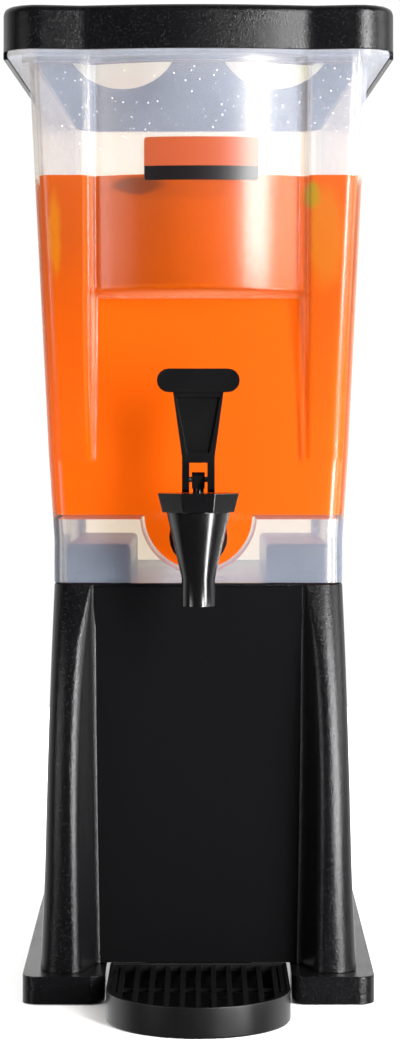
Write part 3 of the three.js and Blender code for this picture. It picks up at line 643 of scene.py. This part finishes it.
lid = {
    "bottom": 524.4,
    "top": 548.88,
    "half": 108.6,
    "narrow": 9.0,
    "front": -148.0,
    "back": 221.4,
    "corner": 20.0,
    "backCorner": 26.0,
    "bayHalf": 61.0,
    "edge": -142.3,
    "bow": 5.7,
    "crease": 26.0,
    "creaseArc": 0.42,
    "creaseStrips": 3,
    "wall": 2.6,
    "draft": 1.0,
    "footRound": 0.4,
    "topRound": 4.2,
    "lipBottom": 518.4,
    "lipUnder": 1.5,
    "lipInset": 3.1,
    "lipWall": 2.0,
    "pocketX": 45.5,
    "pocketY": -25.0,
    "pocketHalf": (29.5, 65.0, 16.0),
    "pocketWall": (4.6, 5.6, 14.0),
    "pocketUnder": 0.8,
    "edgeDrop": 3.6,
    "edgeRoot": 2.0,
    "edgeWall": 2.4,
    "edgeSet": 0.05,
    "edgeGap": 0.4,
    "edgeEnds": (-126.0, 196.0),
    "flangeOut": 0.6,
    "flangeSoft": 0.7,
}


# The tank: a shell, a collar and a flange, hollowed above and below its floor

frost = {
    "haze": "#cbdaf9",
    "wetHaze": "#ffd9b4",
    "glow": "#fff0d2",
    "warm": "#fffaf0",
    "dry": 0.165,
    "skirt": 0.13,
    "rimGlow": 0.07,
    "rimGlowSoft": 1.0,
    "wetHigh": 0.01,
    "wetLow": 0.0,
    "edge": 0.45,
    "edgePower": 2.1,
    "edgeDry": 0.3,
    "glowShare": 0.25,
    "roughness": 0.22,
    "dryGloss": 0.5,
    "levelSoft": 0.4,
    "sumpFrom": 3.0,
    "sumpTo": 2.0,
    "floorFrom": -3.5,
    "floorTo": 1.0,
    "facing": 0.35,
    "cloudMm": 30,
    "cloudLow": 0.92,
    "cloudHigh": 1.08,
    "rippleMm": 9,
    "rippleDeep": 0.1,
    "ripple": 0.15,
    "ior": 1.49,
}


def frostedPolypropylene(name, inside):
    # natural polypropylene: a milky, bluish haze where it is dry, warm where light comes through,
    # and nearly clear, with no shine on its inside, where the drink wets it
    material = newMaterial(name)
    place = addNode(material, "ShaderNodeTexCoord")["Object"]
    spot = addNode(material, "ShaderNodeSeparateXYZ", Vector=place)
    above = addNode(
        material, "ShaderNodeMapRange", Value=spot["Z"],
        From_Min=(drink["level"] - frost["levelSoft"]) * mm,
        From_Max=(drink["level"] + frost["levelSoft"]) * mm,
    )["Result"]
    fall = addNode(
        material, "ShaderNodeMath", operation="SUBTRACT", input0=spot["Z"],
        input1=tank["floor"] * mm,
    )[0]
    down = addNode(material, "ShaderNodeMath", operation="MINIMUM", input0=fall, input1=0.0)[0]
    away = addNode(
        material, "ShaderNodeVectorMath", operation="LENGTH",
        input0=addNode(material, "ShaderNodeCombineXYZ", X=spot["X"], Z=down)[0],
    )["Value"]
    outside = addNode(
        material, "ShaderNodeMapRange", Value=away,
        From_Min=(tank["sumpRadius"] - frost["sumpFrom"]) * mm,
        From_Max=(tank["sumpRadius"] - frost["sumpTo"]) * mm,
    )["Result"]
    under = addNode(
        material, "ShaderNodeMapRange", Value=fall, From_Min=frost["floorFrom"] * mm,
        From_Max=frost["floorTo"] * mm, To_Min=1.0, To_Max=0.0,
    )["Result"]
    belowFloor = addNode(
        material, "ShaderNodeMath", operation="MULTIPLY", input0=under, input1=outside,
    )[0]
    dry = addNode(
        material, "ShaderNodeMath", operation="MAXIMUM", input0=above, input1=belowFloor,
    )[0]
    facing = addNode(material, "ShaderNodeLayerWeight", Blend=frost["facing"])["Facing"]
    grazing = addNode(
        material, "ShaderNodeMath", operation="MULTIPLY",
        input0=addNode(
            material, "ShaderNodeMath", operation="POWER", input0=facing,
            input1=frost["edgePower"],
        )[0],
        input1=addNode(
            material, "ShaderNodeMapRange", Value=dry,
            To_Min=frost["edge"], To_Max=frost["edgeDry"],
        )["Result"],
    )[0]
    wet = addNode(
        material, "ShaderNodeMapRange", Value=spot["Z"],
        From_Min=tank["ledge"] * mm, From_Max=drink["level"] * mm,
        To_Min=frost["wetLow"], To_Max=frost["wetHigh"],
    )["Result"]
    dryBody = addNode(
        material, "ShaderNodeMapRange", Value=spot["Z"],
        From_Min=tank["floor"] * mm, From_Max=drink["level"] * mm,
        To_Min=frost["skirt"], To_Max=frost["dry"],
    )["Result"]
    body = addNode(
        material, "ShaderNodeMapRange", Value=dry, To_Min=wet, To_Max=dryBody,
    )["Result"]
    cloud = addNode(
        material, "ShaderNodeTexNoise", Vector=place, Scale=1 / (frost["cloudMm"] * mm),
        Detail=softDetail,
    )["Fac"]
    uneven = addNode(
        material, "ShaderNodeMapRange", Value=cloud, **noiseSpan,
        To_Min=frost["cloudLow"], To_Max=frost["cloudHigh"],
    )["Result"]
    amount = addNode(
        material, "ShaderNodeMath", operation="MULTIPLY",
        input0=addNode(material, "ShaderNodeMath", operation="ADD", input0=body, input1=grazing)[0],
        input1=uneven,
    )[0]
    through = addNode(
        material, "ShaderNodeMath", operation="MULTIPLY", input0=dry, input1=frost["glowShare"],
    )[0]
    tint = addNode(
        material, "ShaderNodeMix", data_type="RGBA", input0=dry,
        input6=tone("#ffffff"), input7=tone(frost["warm"]),
    )[2]
    hazeTint = addNode(
        material, "ShaderNodeMix", data_type="RGBA", input0=dry,
        input6=tone(frost["wetHaze"]), input7=tone(frost["haze"]),
    )[2]
    haze = addNode(material, "ShaderNodeBsdfDiffuse", Color=hazeTint)[0]
    glow = addNode(material, "ShaderNodeBsdfTranslucent", Color=tone(frost["glow"]))[0]
    clear = addNode(material, "ShaderNodeBsdfTransparent", Color=tint)[0]
    milk = addNode(material, "ShaderNodeMixShader", input0=through, input1=haze, input2=glow)[0]
    ripple = addNode(
        material, "ShaderNodeBump", Strength=frost["ripple"], Distance=frost["rippleDeep"] * mm,
        Height=addNode(
            material, "ShaderNodeTexNoise", Vector=place, Scale=1 / (frost["rippleMm"] * mm),
            Detail=softDetail,
        )["Fac"],
    )["Normal"]
    gloss = addNode(
        material, "ShaderNodeBsdfGlossy", Roughness=frost["roughness"], Normal=ripple,
    )[0]
    fresnel = addNode(
        material, "ShaderNodeMath", operation="MULTIPLY",
        input0=addNode(material, "ShaderNodeFresnel", IOR=frost["ior"], Normal=ripple)[0],
        input1=addNode(
            material, "ShaderNodeMapRange", Value=above, To_Min=1.0, To_Max=frost["dryGloss"],
        )["Result"],
    )[0]
    if inside:
        fresnel, amount = [
            addNode(material, "ShaderNodeMath", operation="MULTIPLY", input0=part, input1=dry)[0]
            for part in (fresnel, amount)
        ]
    wall = addNode(material, "ShaderNodeMixShader", input0=amount, input1=clear, input2=milk)[0]
    shader = addNode(material, "ShaderNodeMixShader", input0=fresnel, input1=wall, input2=gloss)[0]
    # a painted glow at the rim and the collar, standing in for light that travels down in the wall
    # and comes out there
    rimGlowShare = addNode(
        material, "ShaderNodeMapRange", Value=spot["Z"],
        From_Min=(tank["mouth"] - tank["collarDrop"] - frost["rimGlowSoft"]) * mm,
        From_Max=tank["mouth"] * mm, To_Max=frost["rimGlow"],
    )["Result"]
    rim = addNode(material, "ShaderNodeEmission", Color=tone(frost["warm"]), Strength=rimGlowShare)[0]
    shader = addNode(material, "ShaderNodeAddShader", input0=shader, input1=rim)[0]
    addNode(material, "ShaderNodeOutputMaterial", Surface=shader)
    return material


def rimPlan(inset):
    # the lid's plan with its sides drawn in, clear of the lid's hanging edges
    points = []
    for point in lidPlan(inset - lid["flangeOut"]):
        taper = lid["narrow"] * (point.y - lid["front"]) / (lid["back"] - lid["front"])
        widest = lid["half"] - taper - lid["edgeWall"] - lid["edgeGap"] - inset
        points.append(Vector((min(max(point.x, -widest), widest), point.y)))
    return points


def makeTank():
    outside = frostedPolypropylene("frostedPolypropylene", False)
    wetSide = frostedPolypropylene("frostedPolypropyleneInside", True)
    shell = raised("tankMoulding", tankRings(tank["bottom"], tank["mouth"]))
    shell.data.materials.append(outside)
    top, wall = tank["top"], tank["wall"]
    collar = tankPlan(tank["mouth"], -tank["collarOut"])
    collarEnds = (tank["mouth"] - tank["collarDrop"], top - tank["collarUnder"])
    combine(shell, raised("collar", [(z, collar) for z in collarEnds]), "UNION")
    rim = softRings(rimPlan, tank["mouth"], top, lid["flangeSoft"], lid["flangeSoft"])
    combine(shell, raised("rim", rim), "UNION")
    cavity = tankRings(tank["floor"], tank["mouth"], wall)
    cavity.append((top + overrun, tankPlan(tank["mouth"], wall)))
    room = raised("cavity", cavity)
    room.data.materials.append(wetSide)
    combine(shell, room, "DIFFERENCE")
    under = [(tank["bottom"] - overrun, tankPlan(tank["bottom"], wall))]
    under += tankRings(tank["bottom"] + tank["footStep"], tank["floor"] - wall, wall)
    hollow = raised("hollow", under)
    sump = (0, tank["wallY"] + tank["sumpLength"] / 2, tank["floor"])
    combine(hollow, bar(sump, tank["sumpRadius"], tank["sumpLength"]), "DIFFERENCE")
    combine(shell, hollow, "DIFFERENCE")
    inside = bar(sump, tank["sumpRadius"] - wall, tank["sumpLength"] - 2 * wall)
    inside.data.materials.append(wetSide)
    combine(shell, inside, "DIFFERENCE")
    shank = (0, tank["wallY"], tank["shankZ"])
    combine(shell, bar(shank, tank["shankHole"], tank["holeLength"], sides=48), "DIFFERENCE")
    smoothed(shell)
    return shell


placed(makeTank(), "tank", "frosted_tank", None, "tank")
print("tank moulded")


def makeDrink():
    inset = tank["wall"] + drink["gap"]
    low = tank["floor"] + drink["gap"]
    fill = raised("drinkFill", tankRings(low, drink["level"], inset))
    sump = (0, tank["wallY"] + tank["sumpLength"] / 2, low)
    pool = bar(sump, tank["sumpRadius"] - inset, tank["sumpLength"] - 2 * inset)
    combine(fill, pool, "UNION")
    smoothed(fill, angle=30)
    return fill


placed(makeDrink(), "tank", "drink", orangeSquash())
print("drink filled")


def bulgeY(x, z, inset=0.0):
    # how far forward the tank's front wall stands at a place
    bay, edge, bow = bayFace(z, inset)
    if abs(x) < bay:
        return edge - bow * (1 - (x / bay) ** 2)
    return along(z, tank["front"]) + inset


# Droplets on the inside of the front wall, above the drink

droplets = {
    "count": 210,
    "seed": 7,
    "low": 472.0,
    "high": 516.0,
    "half": 86.0,
    "radius": (0.14, 0.48),
    "smallShare": 2.5,
    "flat": 0.55,
    "tall": 1.15,
    "colour": "#fdfdff",
    "unevenMm": 6,
    "roughLow": 0.02,
    "roughHigh": 0.1,
    "shine": 0.6,
    "glint": 0.2,
}


def waterDrops():
    # clear water on a frosted wall, drawn as near white drops with a painted glint, for the white
    # light each clear drop gathers
    material = newMaterial("waterDrops")
    place = addNode(material, "ShaderNodeTexCoord")["Object"]
    uneven = addNode(
        material, "ShaderNodeTexNoise", Vector=place, Scale=1 / (droplets["unevenMm"] * mm),
        Detail=1.0,
    )["Fac"]
    rough = addNode(
        material, "ShaderNodeMapRange", Value=uneven,
        To_Min=droplets["roughLow"], To_Max=droplets["roughHigh"],
    )["Result"]
    shader = addNode(
        material, "ShaderNodeBsdfPrincipled", Base_Color=tone(droplets["colour"]),
        Roughness=rough, Specular_IOR_Level=droplets["shine"],
        Emission_Color=tone("#ffffff"), Emission_Strength=droplets["glint"],
    )[0]
    addNode(material, "ShaderNodeOutputMaterial", Surface=shader)
    return material


def makeDroplets():
    bpy.ops.mesh.primitive_uv_sphere_add(segments=12, ring_count=8, radius=mm)
    first = started("droplets")
    first.scale = (1.0, droplets["flat"], droplets["tall"])
    bpy.ops.object.transform_apply(location=True, rotation=True, scale=True)
    chance = random.Random(droplets["seed"])
    smallest, largest = droplets["radius"]
    copies = []
    for each in range(droplets["count"]):
        x = chance.uniform(-droplets["half"], droplets["half"])
        z = chance.uniform(droplets["low"], droplets["high"])
        size = smallest + (largest - smallest) * chance.random() ** droplets["smallShare"]
        choose(first)
        bpy.ops.object.duplicate()
        drop = bpy.context.object
        drop.location = Vector((x, bulgeY(x, z, tank["wall"]), z)) * mm
        drop.scale = (size,) * 3
        copies.append(drop)
    bpy.data.objects.remove(first)
    choose(copies[0], *copies[1:])
    bpy.ops.object.join()
    drops = started("wallDroplets")
    bpy.ops.object.transform_apply(location=True, rotation=True, scale=True)
    smoothed(drops, angle=60)
    return drops


placed(makeDroplets(), "tank", "drink", waterDrops())
print("droplets set")


# The label, a thin film on the bulge

label = {
    "left": -29.8,
    "right": 33.2,
    "bottom": 454.0,
    "top": 477.4,
    "corner": 1.7,
    "thick": 0.4,
    "lift": 0.06,
    "strips": 24,
    "print": "#873b1f",
    "band": "#0e0a0c",
    "bandTop": 461.7,
    "bandSoft": 0.1,
    "roughness": 0.3,
}


def labelFilm():
    # printed polypropylene film in two plain bands, left bare
    material = newMaterial("labelFilm")
    place = addNode(material, "ShaderNodeTexCoord")["Object"]
    height = addNode(material, "ShaderNodeSeparateXYZ", Vector=place)["Z"]
    isPrint = addNode(
        material, "ShaderNodeMapRange", Value=height,
        From_Min=(label["bandTop"] - label["bandSoft"]) * mm,
        From_Max=(label["bandTop"] + label["bandSoft"]) * mm,
    )["Result"]
    colour = addNode(
        material, "ShaderNodeMix", data_type="RGBA", input0=isPrint,
        input6=tone(label["band"]), input7=tone(label["print"]),
    )[2]
    shader = addNode(
        material, "ShaderNodeBsdfPrincipled", Base_Color=colour, Roughness=label["roughness"],
    )[0]
    addNode(material, "ShaderNodeOutputMaterial", Surface=shader)
    return material


def makeLabel():
    width, height = label["right"] - label["left"], label["top"] - label["bottom"]
    middle = ((label["left"] + label["right"]) / 2, 0, (label["bottom"] + label["top"]) / 2)
    bpy.ops.mesh.primitive_plane_add(
        size=1, location=Vector(middle) * mm, rotation=(math.pi / 2, 0, 0),
    )
    sheet = started("labelSheet")
    sheet.scale = (width * mm, height * mm, 1)
    bpy.ops.object.transform_apply(location=True, rotation=True, scale=True)
    editing(sheet)
    bpy.ops.mesh.select_all(action="SELECT")
    bpy.ops.mesh.bevel(offset=label["corner"] * mm, segments=5, affect="VERTICES")
    # cut into upright strips, then laid on the bulge
    for step in range(1, label["strips"]):
        bpy.ops.mesh.select_all(action="SELECT")
        place = ((label["left"] + width * step / label["strips"]) * mm, 0, 0)
        bpy.ops.mesh.bisect(plane_co=place, plane_no=(1, 0, 0))
    mesh = bmesh.from_edit_mesh(sheet.data)
    for vertex in mesh.verts:
        vertex.co.y = (bulgeY(vertex.co.x / mm, vertex.co.z / mm) - label["lift"]) * mm
    bmesh.update_edit_mesh(sheet.data)
    editing(sheet, False)
    addModifier(sheet, "SOLIDIFY", thickness=label["thick"] * mm, offset=1.0)
    smoothed(sheet, angle=30)
    return sheet


placed(makeLabel(), "tank", "label", labelFilm(), "tank_label")
print("label laid")


# The lid

def makeLid():
    rings = softRings(
        lidPlan, lid["bottom"], lid["top"], lid["footRound"], lid["topRound"], steps=5,
    )
    cover = raised("lidMoulding", rings)
    cover.data.materials.append(black)
    inside = [
        (lid["bottom"] - overrun, lidPlan(lid["wall"])),
        (lid["top"] - lid["wall"], lidPlan(lid["wall"] + lid["draft"])),
    ]
    combine(cover, raised("lidHollow", inside), "DIFFERENCE")
    lipOuter = tankPlan(tank["mouth"], lid["lipInset"])
    lipInner = tankPlan(tank["mouth"], lid["lipInset"] + lid["lipWall"])
    lipTop = lid["top"] - lid["lipUnder"]
    ring = raised("lidLip", [(z, lipOuter) for z in (lid["lipBottom"], lipTop)])
    gap = raised("lipGap", [(z, lipInner) for z in (lid["lipBottom"] - overrun, lid["top"])])
    combine(ring, gap, "DIFFERENCE")
    combine(cover, ring, "UNION")
    for side in (-1, 1):
        # a narrow edge hangs past the tank's rim along either side
        edge = []
        near, far = lid["edgeEnds"]
        for y, drawn in ((near, lid["edgeSet"]), (far, lid["edgeSet"]), (far, 1.0), (near, 1.0)):
            taper = lid["narrow"] * (y - lid["front"]) / (lid["back"] - lid["front"])
            edge.append(Vector((side * (lid["half"] - taper - drawn * lid["edgeWall"]), y)))
        ends = (lid["bottom"] - lid["edgeDrop"], lid["bottom"] + lid["edgeRoot"])
        combine(cover, raised("lidEdge", [(z, edge) for z in ends]), "UNION")
    for side in (-1, 1):
        # a finger bowl: a thick cup joined on from below, then its hollow
        for grow, operation in ((lid["pocketWall"], "UNION"), ((0.0, 0.0, 0.0), "DIFFERENCE")):
            halves = [half + extra for half, extra in zip(lid["pocketHalf"], grow)]
            bpy.ops.mesh.primitive_uv_sphere_add(
                segments=48, ring_count=24, radius=1,
                location=Vector((side * lid["pocketX"], lid["pocketY"], lid["top"])) * mm,
            )
            bowl = started("pocket")
            bowl.scale = Vector(halves) * mm
            bpy.ops.object.transform_apply(location=True, rotation=True, scale=True)
            # the cup's underside gets the painted pale glow
            bowl.data.materials.append(bowlGlow if operation == "UNION" else black)
            if operation == "UNION":
                editing(bowl)
                bpy.ops.mesh.select_all(action="SELECT")
                bpy.ops.mesh.bisect(
                    plane_co=(0, 0, (lid["top"] - lid["pocketUnder"]) * mm), plane_no=(0, 0, 1),
                    clear_outer=True, use_fill=True,
                )
                editing(bowl, False)
            combine(cover, bowl, operation)
    smoothed(cover, angle=32)
    return cover


placed(makeLid(), "lid", "textured_plastic", None, "lid")
print("lid moulded")


# The stand

stand = {
    "bottom": 15.9,
    "top": 229.7,
    "topRound": 1.2,
    "wall": 3.0,
    "half": [(15.9, 88.0), (70, 85.5), (229.7, 81.6)],
    "back": [(15.9, 204.4), (229.7, 194.4)],
    "reach": 27.0,
    "bend": 3.4,
    "corner": 12.0,
    "backCorner": 14.0,
    "crest": 6.5,
    "crestArc": 0.36,
    "root": 6.0,
    "rootArc": 0.42,
    "panelHalf": [(15.9, 55.3), (229.7, 59.3)],
    "flankTop": 1.0,
    "flankFoot": 10.5,
    "rootShare": 0.2,
    "levels": 26,
    "topSteps": 4,
    "panelThick": 2.5,
    "panelTop": 228.2,
    "panelGap": 0.3,
    "panelSoft": 0.4,
    "recessOut": 0.5,
    "blockX": (38.3, 75.0),
    "blockY": (-95.5, 84.5),
    "blockRoot": 1.5,
    "blockTop": 251.7,
    "blockCorner": 4.0,
    "blockRound": 3.2,
    "blockLeast": 0.6,
    "bossRadius": 6.0,
    "bossTop": 61.9,
    "bossX": 74.2,
    "bossY": (-102.0, 177.4),
}


def standPlan(z, inset=0.0, deeper=0.0):
    rise = (z - stand["bottom"]) / (stand["top"] - stand["bottom"])
    swell = 1 - rise ** stand["bend"]
    front = tank["wallY"] - stand["reach"] * swell
    flank = stand["flankTop"] + (stand["flankFoot"] - stand["flankTop"]) * swell
    half = along(z, stand["half"]) - inset
    bay = along(z, stand["panelHalf"]) + inset
    wallY = tank["wallY"] + inset + deeper
    left = [
        (-half, along(z, stand["back"]) - inset, stand["backCorner"] - inset, cornerArc),
        (-half, front + inset, stand["corner"] - inset, cornerArc),
        (-bay - flank, front + inset, stand["crest"], stand["crestArc"]),
        (-bay - stand["rootShare"] * flank, wallY, stand["root"], stand["rootArc"]),
        (-bay / 2, wallY, 0, 0),
        (0.0, wallY, 0, 0),
    ]
    return mirrored(left)


def standRings(top, inset=0.0, deeper=0.0):
    rings = []
    for step in range(stand["levels"] + 1):
        z = stand["bottom"] + (top - stand["bottom"]) * step / stand["levels"]
        rings.append((z, standPlan(z, inset, deeper)))
    return rings


def slab(name, z0, z1, halfAt, y0, y1):
    # a flat slab that stands up between two heights, with its own half width at each
    rings = []
    for z in (z0, z1):
        half = halfAt(z)
        rings.append((z, [Vector(p) for p in ((-half, y0), (half, y0), (half, y1), (-half, y1))]))
    return raised(name, rings)


def blockPlan(side, soft):
    left, right = sorted((side * stand["blockX"][0], side * stand["blockX"][1]))
    front, back = stand["blockY"]
    radius = max(stand["blockCorner"] - soft, stand["blockLeast"])
    corners = (
        (left + soft, front + soft), (right - soft, front + soft),
        (right - soft, back - soft), (left + soft, back - soft),
    )
    return rounded([(x, y, radius, evenArc) for x, y in corners])


def makeStand():
    rings = standRings(stand["top"] - stand["topRound"])
    for step in range(1, stand["topSteps"] + 1):
        turn = math.pi / 2 * step / stand["topSteps"]
        z = stand["top"] - stand["topRound"] * (1 - math.sin(turn))
        rings.append((z, standPlan(stand["top"], stand["topRound"] * (1 - math.cos(turn)))))
    body = raised("standMoulding", rings)
    recess = stand["panelThick"] + stand["panelGap"]
    wall = stand["wall"]
    inner = [(stand["bottom"] - overrun, standPlan(stand["bottom"], wall, recess))]
    inner += [(z + hair, plan) for z, plan in standRings(stand["top"] - wall, wall, recess)]
    combine(body, raised("standHollow", inner), "DIFFERENCE")
    cutter = slab(
        "recess", stand["bottom"] - overrun, stand["panelTop"],
        lambda z: along(z, stand["panelHalf"]),
        tank["wallY"] - stand["recessOut"], tank["wallY"] + recess,
    )
    combine(body, cutter, "DIFFERENCE")
    bossHeight = stand["bossTop"] - stand["bottom"]
    for side in (-1, 1):
        rings = softRings(
            lambda soft: blockPlan(side, soft), stand["top"] - stand["blockRoot"],
            stand["blockTop"], hair, stand["blockRound"],
        )
        combine(body, raised("block", rings), "UNION")
        for y in stand["bossY"]:
            middle = (side * stand["bossX"], y, stand["bottom"] + bossHeight / 2)
            boss = bar(middle, stand["bossRadius"], bossHeight, alongY=False, sides=32)
            combine(body, boss, "UNION")
    smoothed(body, angle=30)
    return body


def makePanel():
    gap = stand["panelGap"]
    sheet = slab(
        "frontSheet", stand["bottom"] + gap, stand["panelTop"] - gap,
        lambda z: along(z, stand["panelHalf"]) - gap,
        tank["wallY"], tank["wallY"] + stand["panelThick"],
    )
    softEdges(sheet, stand["panelSoft"], segments=3)
    smoothed(sheet)
    return sheet


placed(makeStand(), "stand", "textured_plastic", black, "stand")
placed(makePanel(), "stand", "glossy_panel", panelGloss, "front_panel")
print("stand moulded")


# The foot rails

rail = {"top": 15.6, "topRound": 3.2, "footRound": 1.2, "rim": 0.36, "level": 0.05}


def makeRail(side):
    piece = refined("foot_rail_" + side, "railMoulding_" + side)
    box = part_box("foot_rail_" + side)
    low, high = Vector(box[0]) / mm, Vector(box[1]) / mm
    middle = (low + high) / 2

    def onOutline(place):
        x, y = abs(place.x - middle.x), abs(place.y - middle.y)
        return max(x / (high.x - low.x), y / (high.y - low.y)) > rail["rim"]

    def isLevel(place, run, height):
        return abs(place.z - height) < rail["level"] and abs(run.z) < rail["level"]

    for height, radius in ((rail["top"], rail["topRound"]), (low.z, rail["footRound"])):
        editing(piece)
        pickEdges(piece, lambda place, run: isLevel(place, run, height) and onOutline(place))
        bpy.ops.mesh.bevel(offset=radius * mm, segments=5, affect="EDGES", clamp_overlap=True)
        editing(piece, False)
    smoothed(piece)
    return piece


for side in ("left", "right"):
    placed(makeRail(side), "stand", "textured_plastic", black, "foot_rail_" + side)


# The tray, the grid and the tap: copies of the frame's solids with soft edges

# name, width of its soft edges in mm, body, slot and material
softened = {
    "drip_tray": ("trayMoulding", 0.7, "tray", "tray_plastic", traySatin),
    "drip_grid": ("gridSlats", 0.4, "grid", "tray_plastic", traySatin),
    "tap_body": ("tapMoulding", 0.4, "tank", "tap_plastic", tapGloss),
    "tap_bonnet": ("bonnetCollar", 0.5, "tank", "tap_plastic", tapGloss),
    "tap_lever": ("leverHandle", 0.4, "lever", "tap_plastic", tapGloss),
    "valve_stem": ("stemRod", 0.2, "stem", "tap_plastic", tapGloss),
    "shank_nut": ("shankNut", 0.4, "tank", "tap_plastic", tapGloss),
}
for node, (name, edge, body, slot, material) in softened.items():
    # the lever's narrow rim keeps its split flats
    placed(refined(node, name, edge, joinFlats=node != "tap_lever"), body, slot, material, node)

# small pieces whose solids stay, with a material each
kept = {
    "rubber_foot": rubber,
    "seat_cup": siliconeMilk,
    "outer_washer": siliconeMilk,
    "inner_washer": siliconeMilk,
    "lever_pin": steel,
    "foot_screw": steel,
}
for name, node in nodes.items():
    for start, material in kept.items():
        if name.startswith(start):
            for slot in node.material_slots:
                slot.material = material

# the spring rides with the stem, on a mesh of its own
spring = placed(refined("return_spring", "springWire"), "stem", "steel", steel, "return_spring")
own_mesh(spring)
print("tray, grid, tap and fasteners finished")


# Studio

def areaLight(name, place, aim, size, power):
    bpy.ops.object.light_add(type="AREA", location=place)
    light = bpy.context.object
    light.name = name
    light.data.shape = "RECTANGLE"
    light.data.size, light.data.size_y = size
    light.data.energy = power
    light.rotation_euler = (Vector(aim) - Vector(place)).to_track_quat("-Z", "Y").to_euler()
    return light


# place, aim and size in metres, power in watts, and whether it shows in gloss
lights = {
    "stripRight": ((0.82, -1.36, 0.62), (0.0, -0.1, 0.45), (0.34, 1.25), 52, True),
    "panelRight": ((1.34, -1.06, 0.32), (0.0, -0.1, 0.32), (0.5, 0.62), 5.5, True),
    "kicker": ((0.36, -0.44, 0.08), (0.0, -0.15, 0.25), (0.1, 0.2), 2.0, True),
    "stripLeft": ((-1.25, -1.0, 0.3), (0.0, -0.1, 0.3), (0.2, 0.58), 3, True),
    "sheenLeft": ((-1.12, -1.22, 0.3), (0.0, -0.1, 0.3), (0.42, 0.6), 1.6, True),
    "sideRight": ((1.5, -0.35, 0.7), (0.0, 0.0, 0.35), (0.5, 1.2), 12, True),
    "overhead": ((0.0, -0.1, 2.2), (0.0, 0.0, 0.0), (2.4, 2.4), 46, False),
    "frontFill": ((0.0, -2.2, 2.1), (0.0, 0.0, 0.3), (1.6, 1.0), 2, False),
    "backGlow": ((0.0, 1.7, 1.0), (0.0, 0.0, 0.4), (1.6, 1.6), 60, False),
}
for name, (place, aim, size, power, inGloss) in lights.items():
    areaLight(name, place, aim, size, power).visible_glossy = inGloss

world = bpy.data.worlds.new("studioWorld")
bpy.context.scene.world = world
world.use_nodes = True
world.node_tree.nodes.clear()
# a white backdrop behind, and a dim room in front that shows little in the gloss
room = {
    "seen": 1.05,
    "behind": 1.0,
    "frontDiffuse": 0.16,
    "frontGloss": 0.03,
    "turnFrom": -0.1,
    "turnTo": 0.4,
}
path = addNode(world, "ShaderNodeLightPath")
direction = addNode(world, "ShaderNodeTexCoord")["Generated"]
backward = addNode(world, "ShaderNodeSeparateXYZ", Vector=direction)["Y"]
low = addNode(
    world, "ShaderNodeMapRange", Value=path["Is Glossy Ray"],
    To_Min=room["frontDiffuse"], To_Max=room["frontGloss"],
)["Result"]
strength = addNode(
    world, "ShaderNodeMapRange", Value=backward,
    From_Min=room["turnFrom"], From_Max=room["turnTo"], To_Min=low, To_Max=room["behind"],
)["Result"]
dim = addNode(world, "ShaderNodeBackground", Color=tone("#ffffff"), Strength=strength)[0]
white = addNode(world, "ShaderNodeBackground", Color=tone("#ffffff"), Strength=room["seen"])[0]
sky = addNode(
    world, "ShaderNodeMixShader", input0=path["Is Camera Ray"], input1=dim, input2=white,
)[0]
addNode(world, "ShaderNodeOutputWorld", Surface=sky)

pale = {"radius": 1.5, "sides": 96, "colour": "#f4f4f3", "roughness": 0.6, "shine": 0.2}
bpy.ops.mesh.primitive_circle_add(
    vertices=pale["sides"], radius=pale["radius"], fill_type="NGON", location=(0, 0, 0),
)
floor = started("studioFloor")
floorPaint = newMaterial("paleFloor")
paint = addNode(
    floorPaint, "ShaderNodeBsdfPrincipled", Base_Color=tone(pale["colour"]),
    Roughness=pale["roughness"], Specular_IOR_Level=pale["shine"],
)[0]
addNode(floorPaint, "ShaderNodeOutputMaterial", Surface=paint)
floor.data.materials.append(floorPaint)
floor.visible_glossy = False

# the photograph's view: the place in metres, and the lens and shift in pixels of its height
view = {
    "place": (0.0009, -1.615, 0.312),
    "sensorMm": 36,
    "lensPixels": 2690,
    "shiftPixels": -83.5,
    "heightPixels": 1041,
}
bpy.ops.object.camera_add(location=view["place"], rotation=(math.pi / 2, 0, 0))
camera = bpy.context.object
camera.data.sensor_width = view["sensorMm"]
camera.data.lens = view["sensorMm"] * view["lensPixels"] / view["heightPixels"]
camera.data.shift_y = view["shiftPixels"] / view["heightPixels"]
bpy.context.scene.camera = camera
bpy.context.scene.view_settings.view_transform = "Standard"
bpy.context.scene.view_settings.look = "None"
# a ray may pass every wall, edge and droplet on its way
bpy.context.scene.cycles.transparent_max_bounces = 24
print("studio lit")
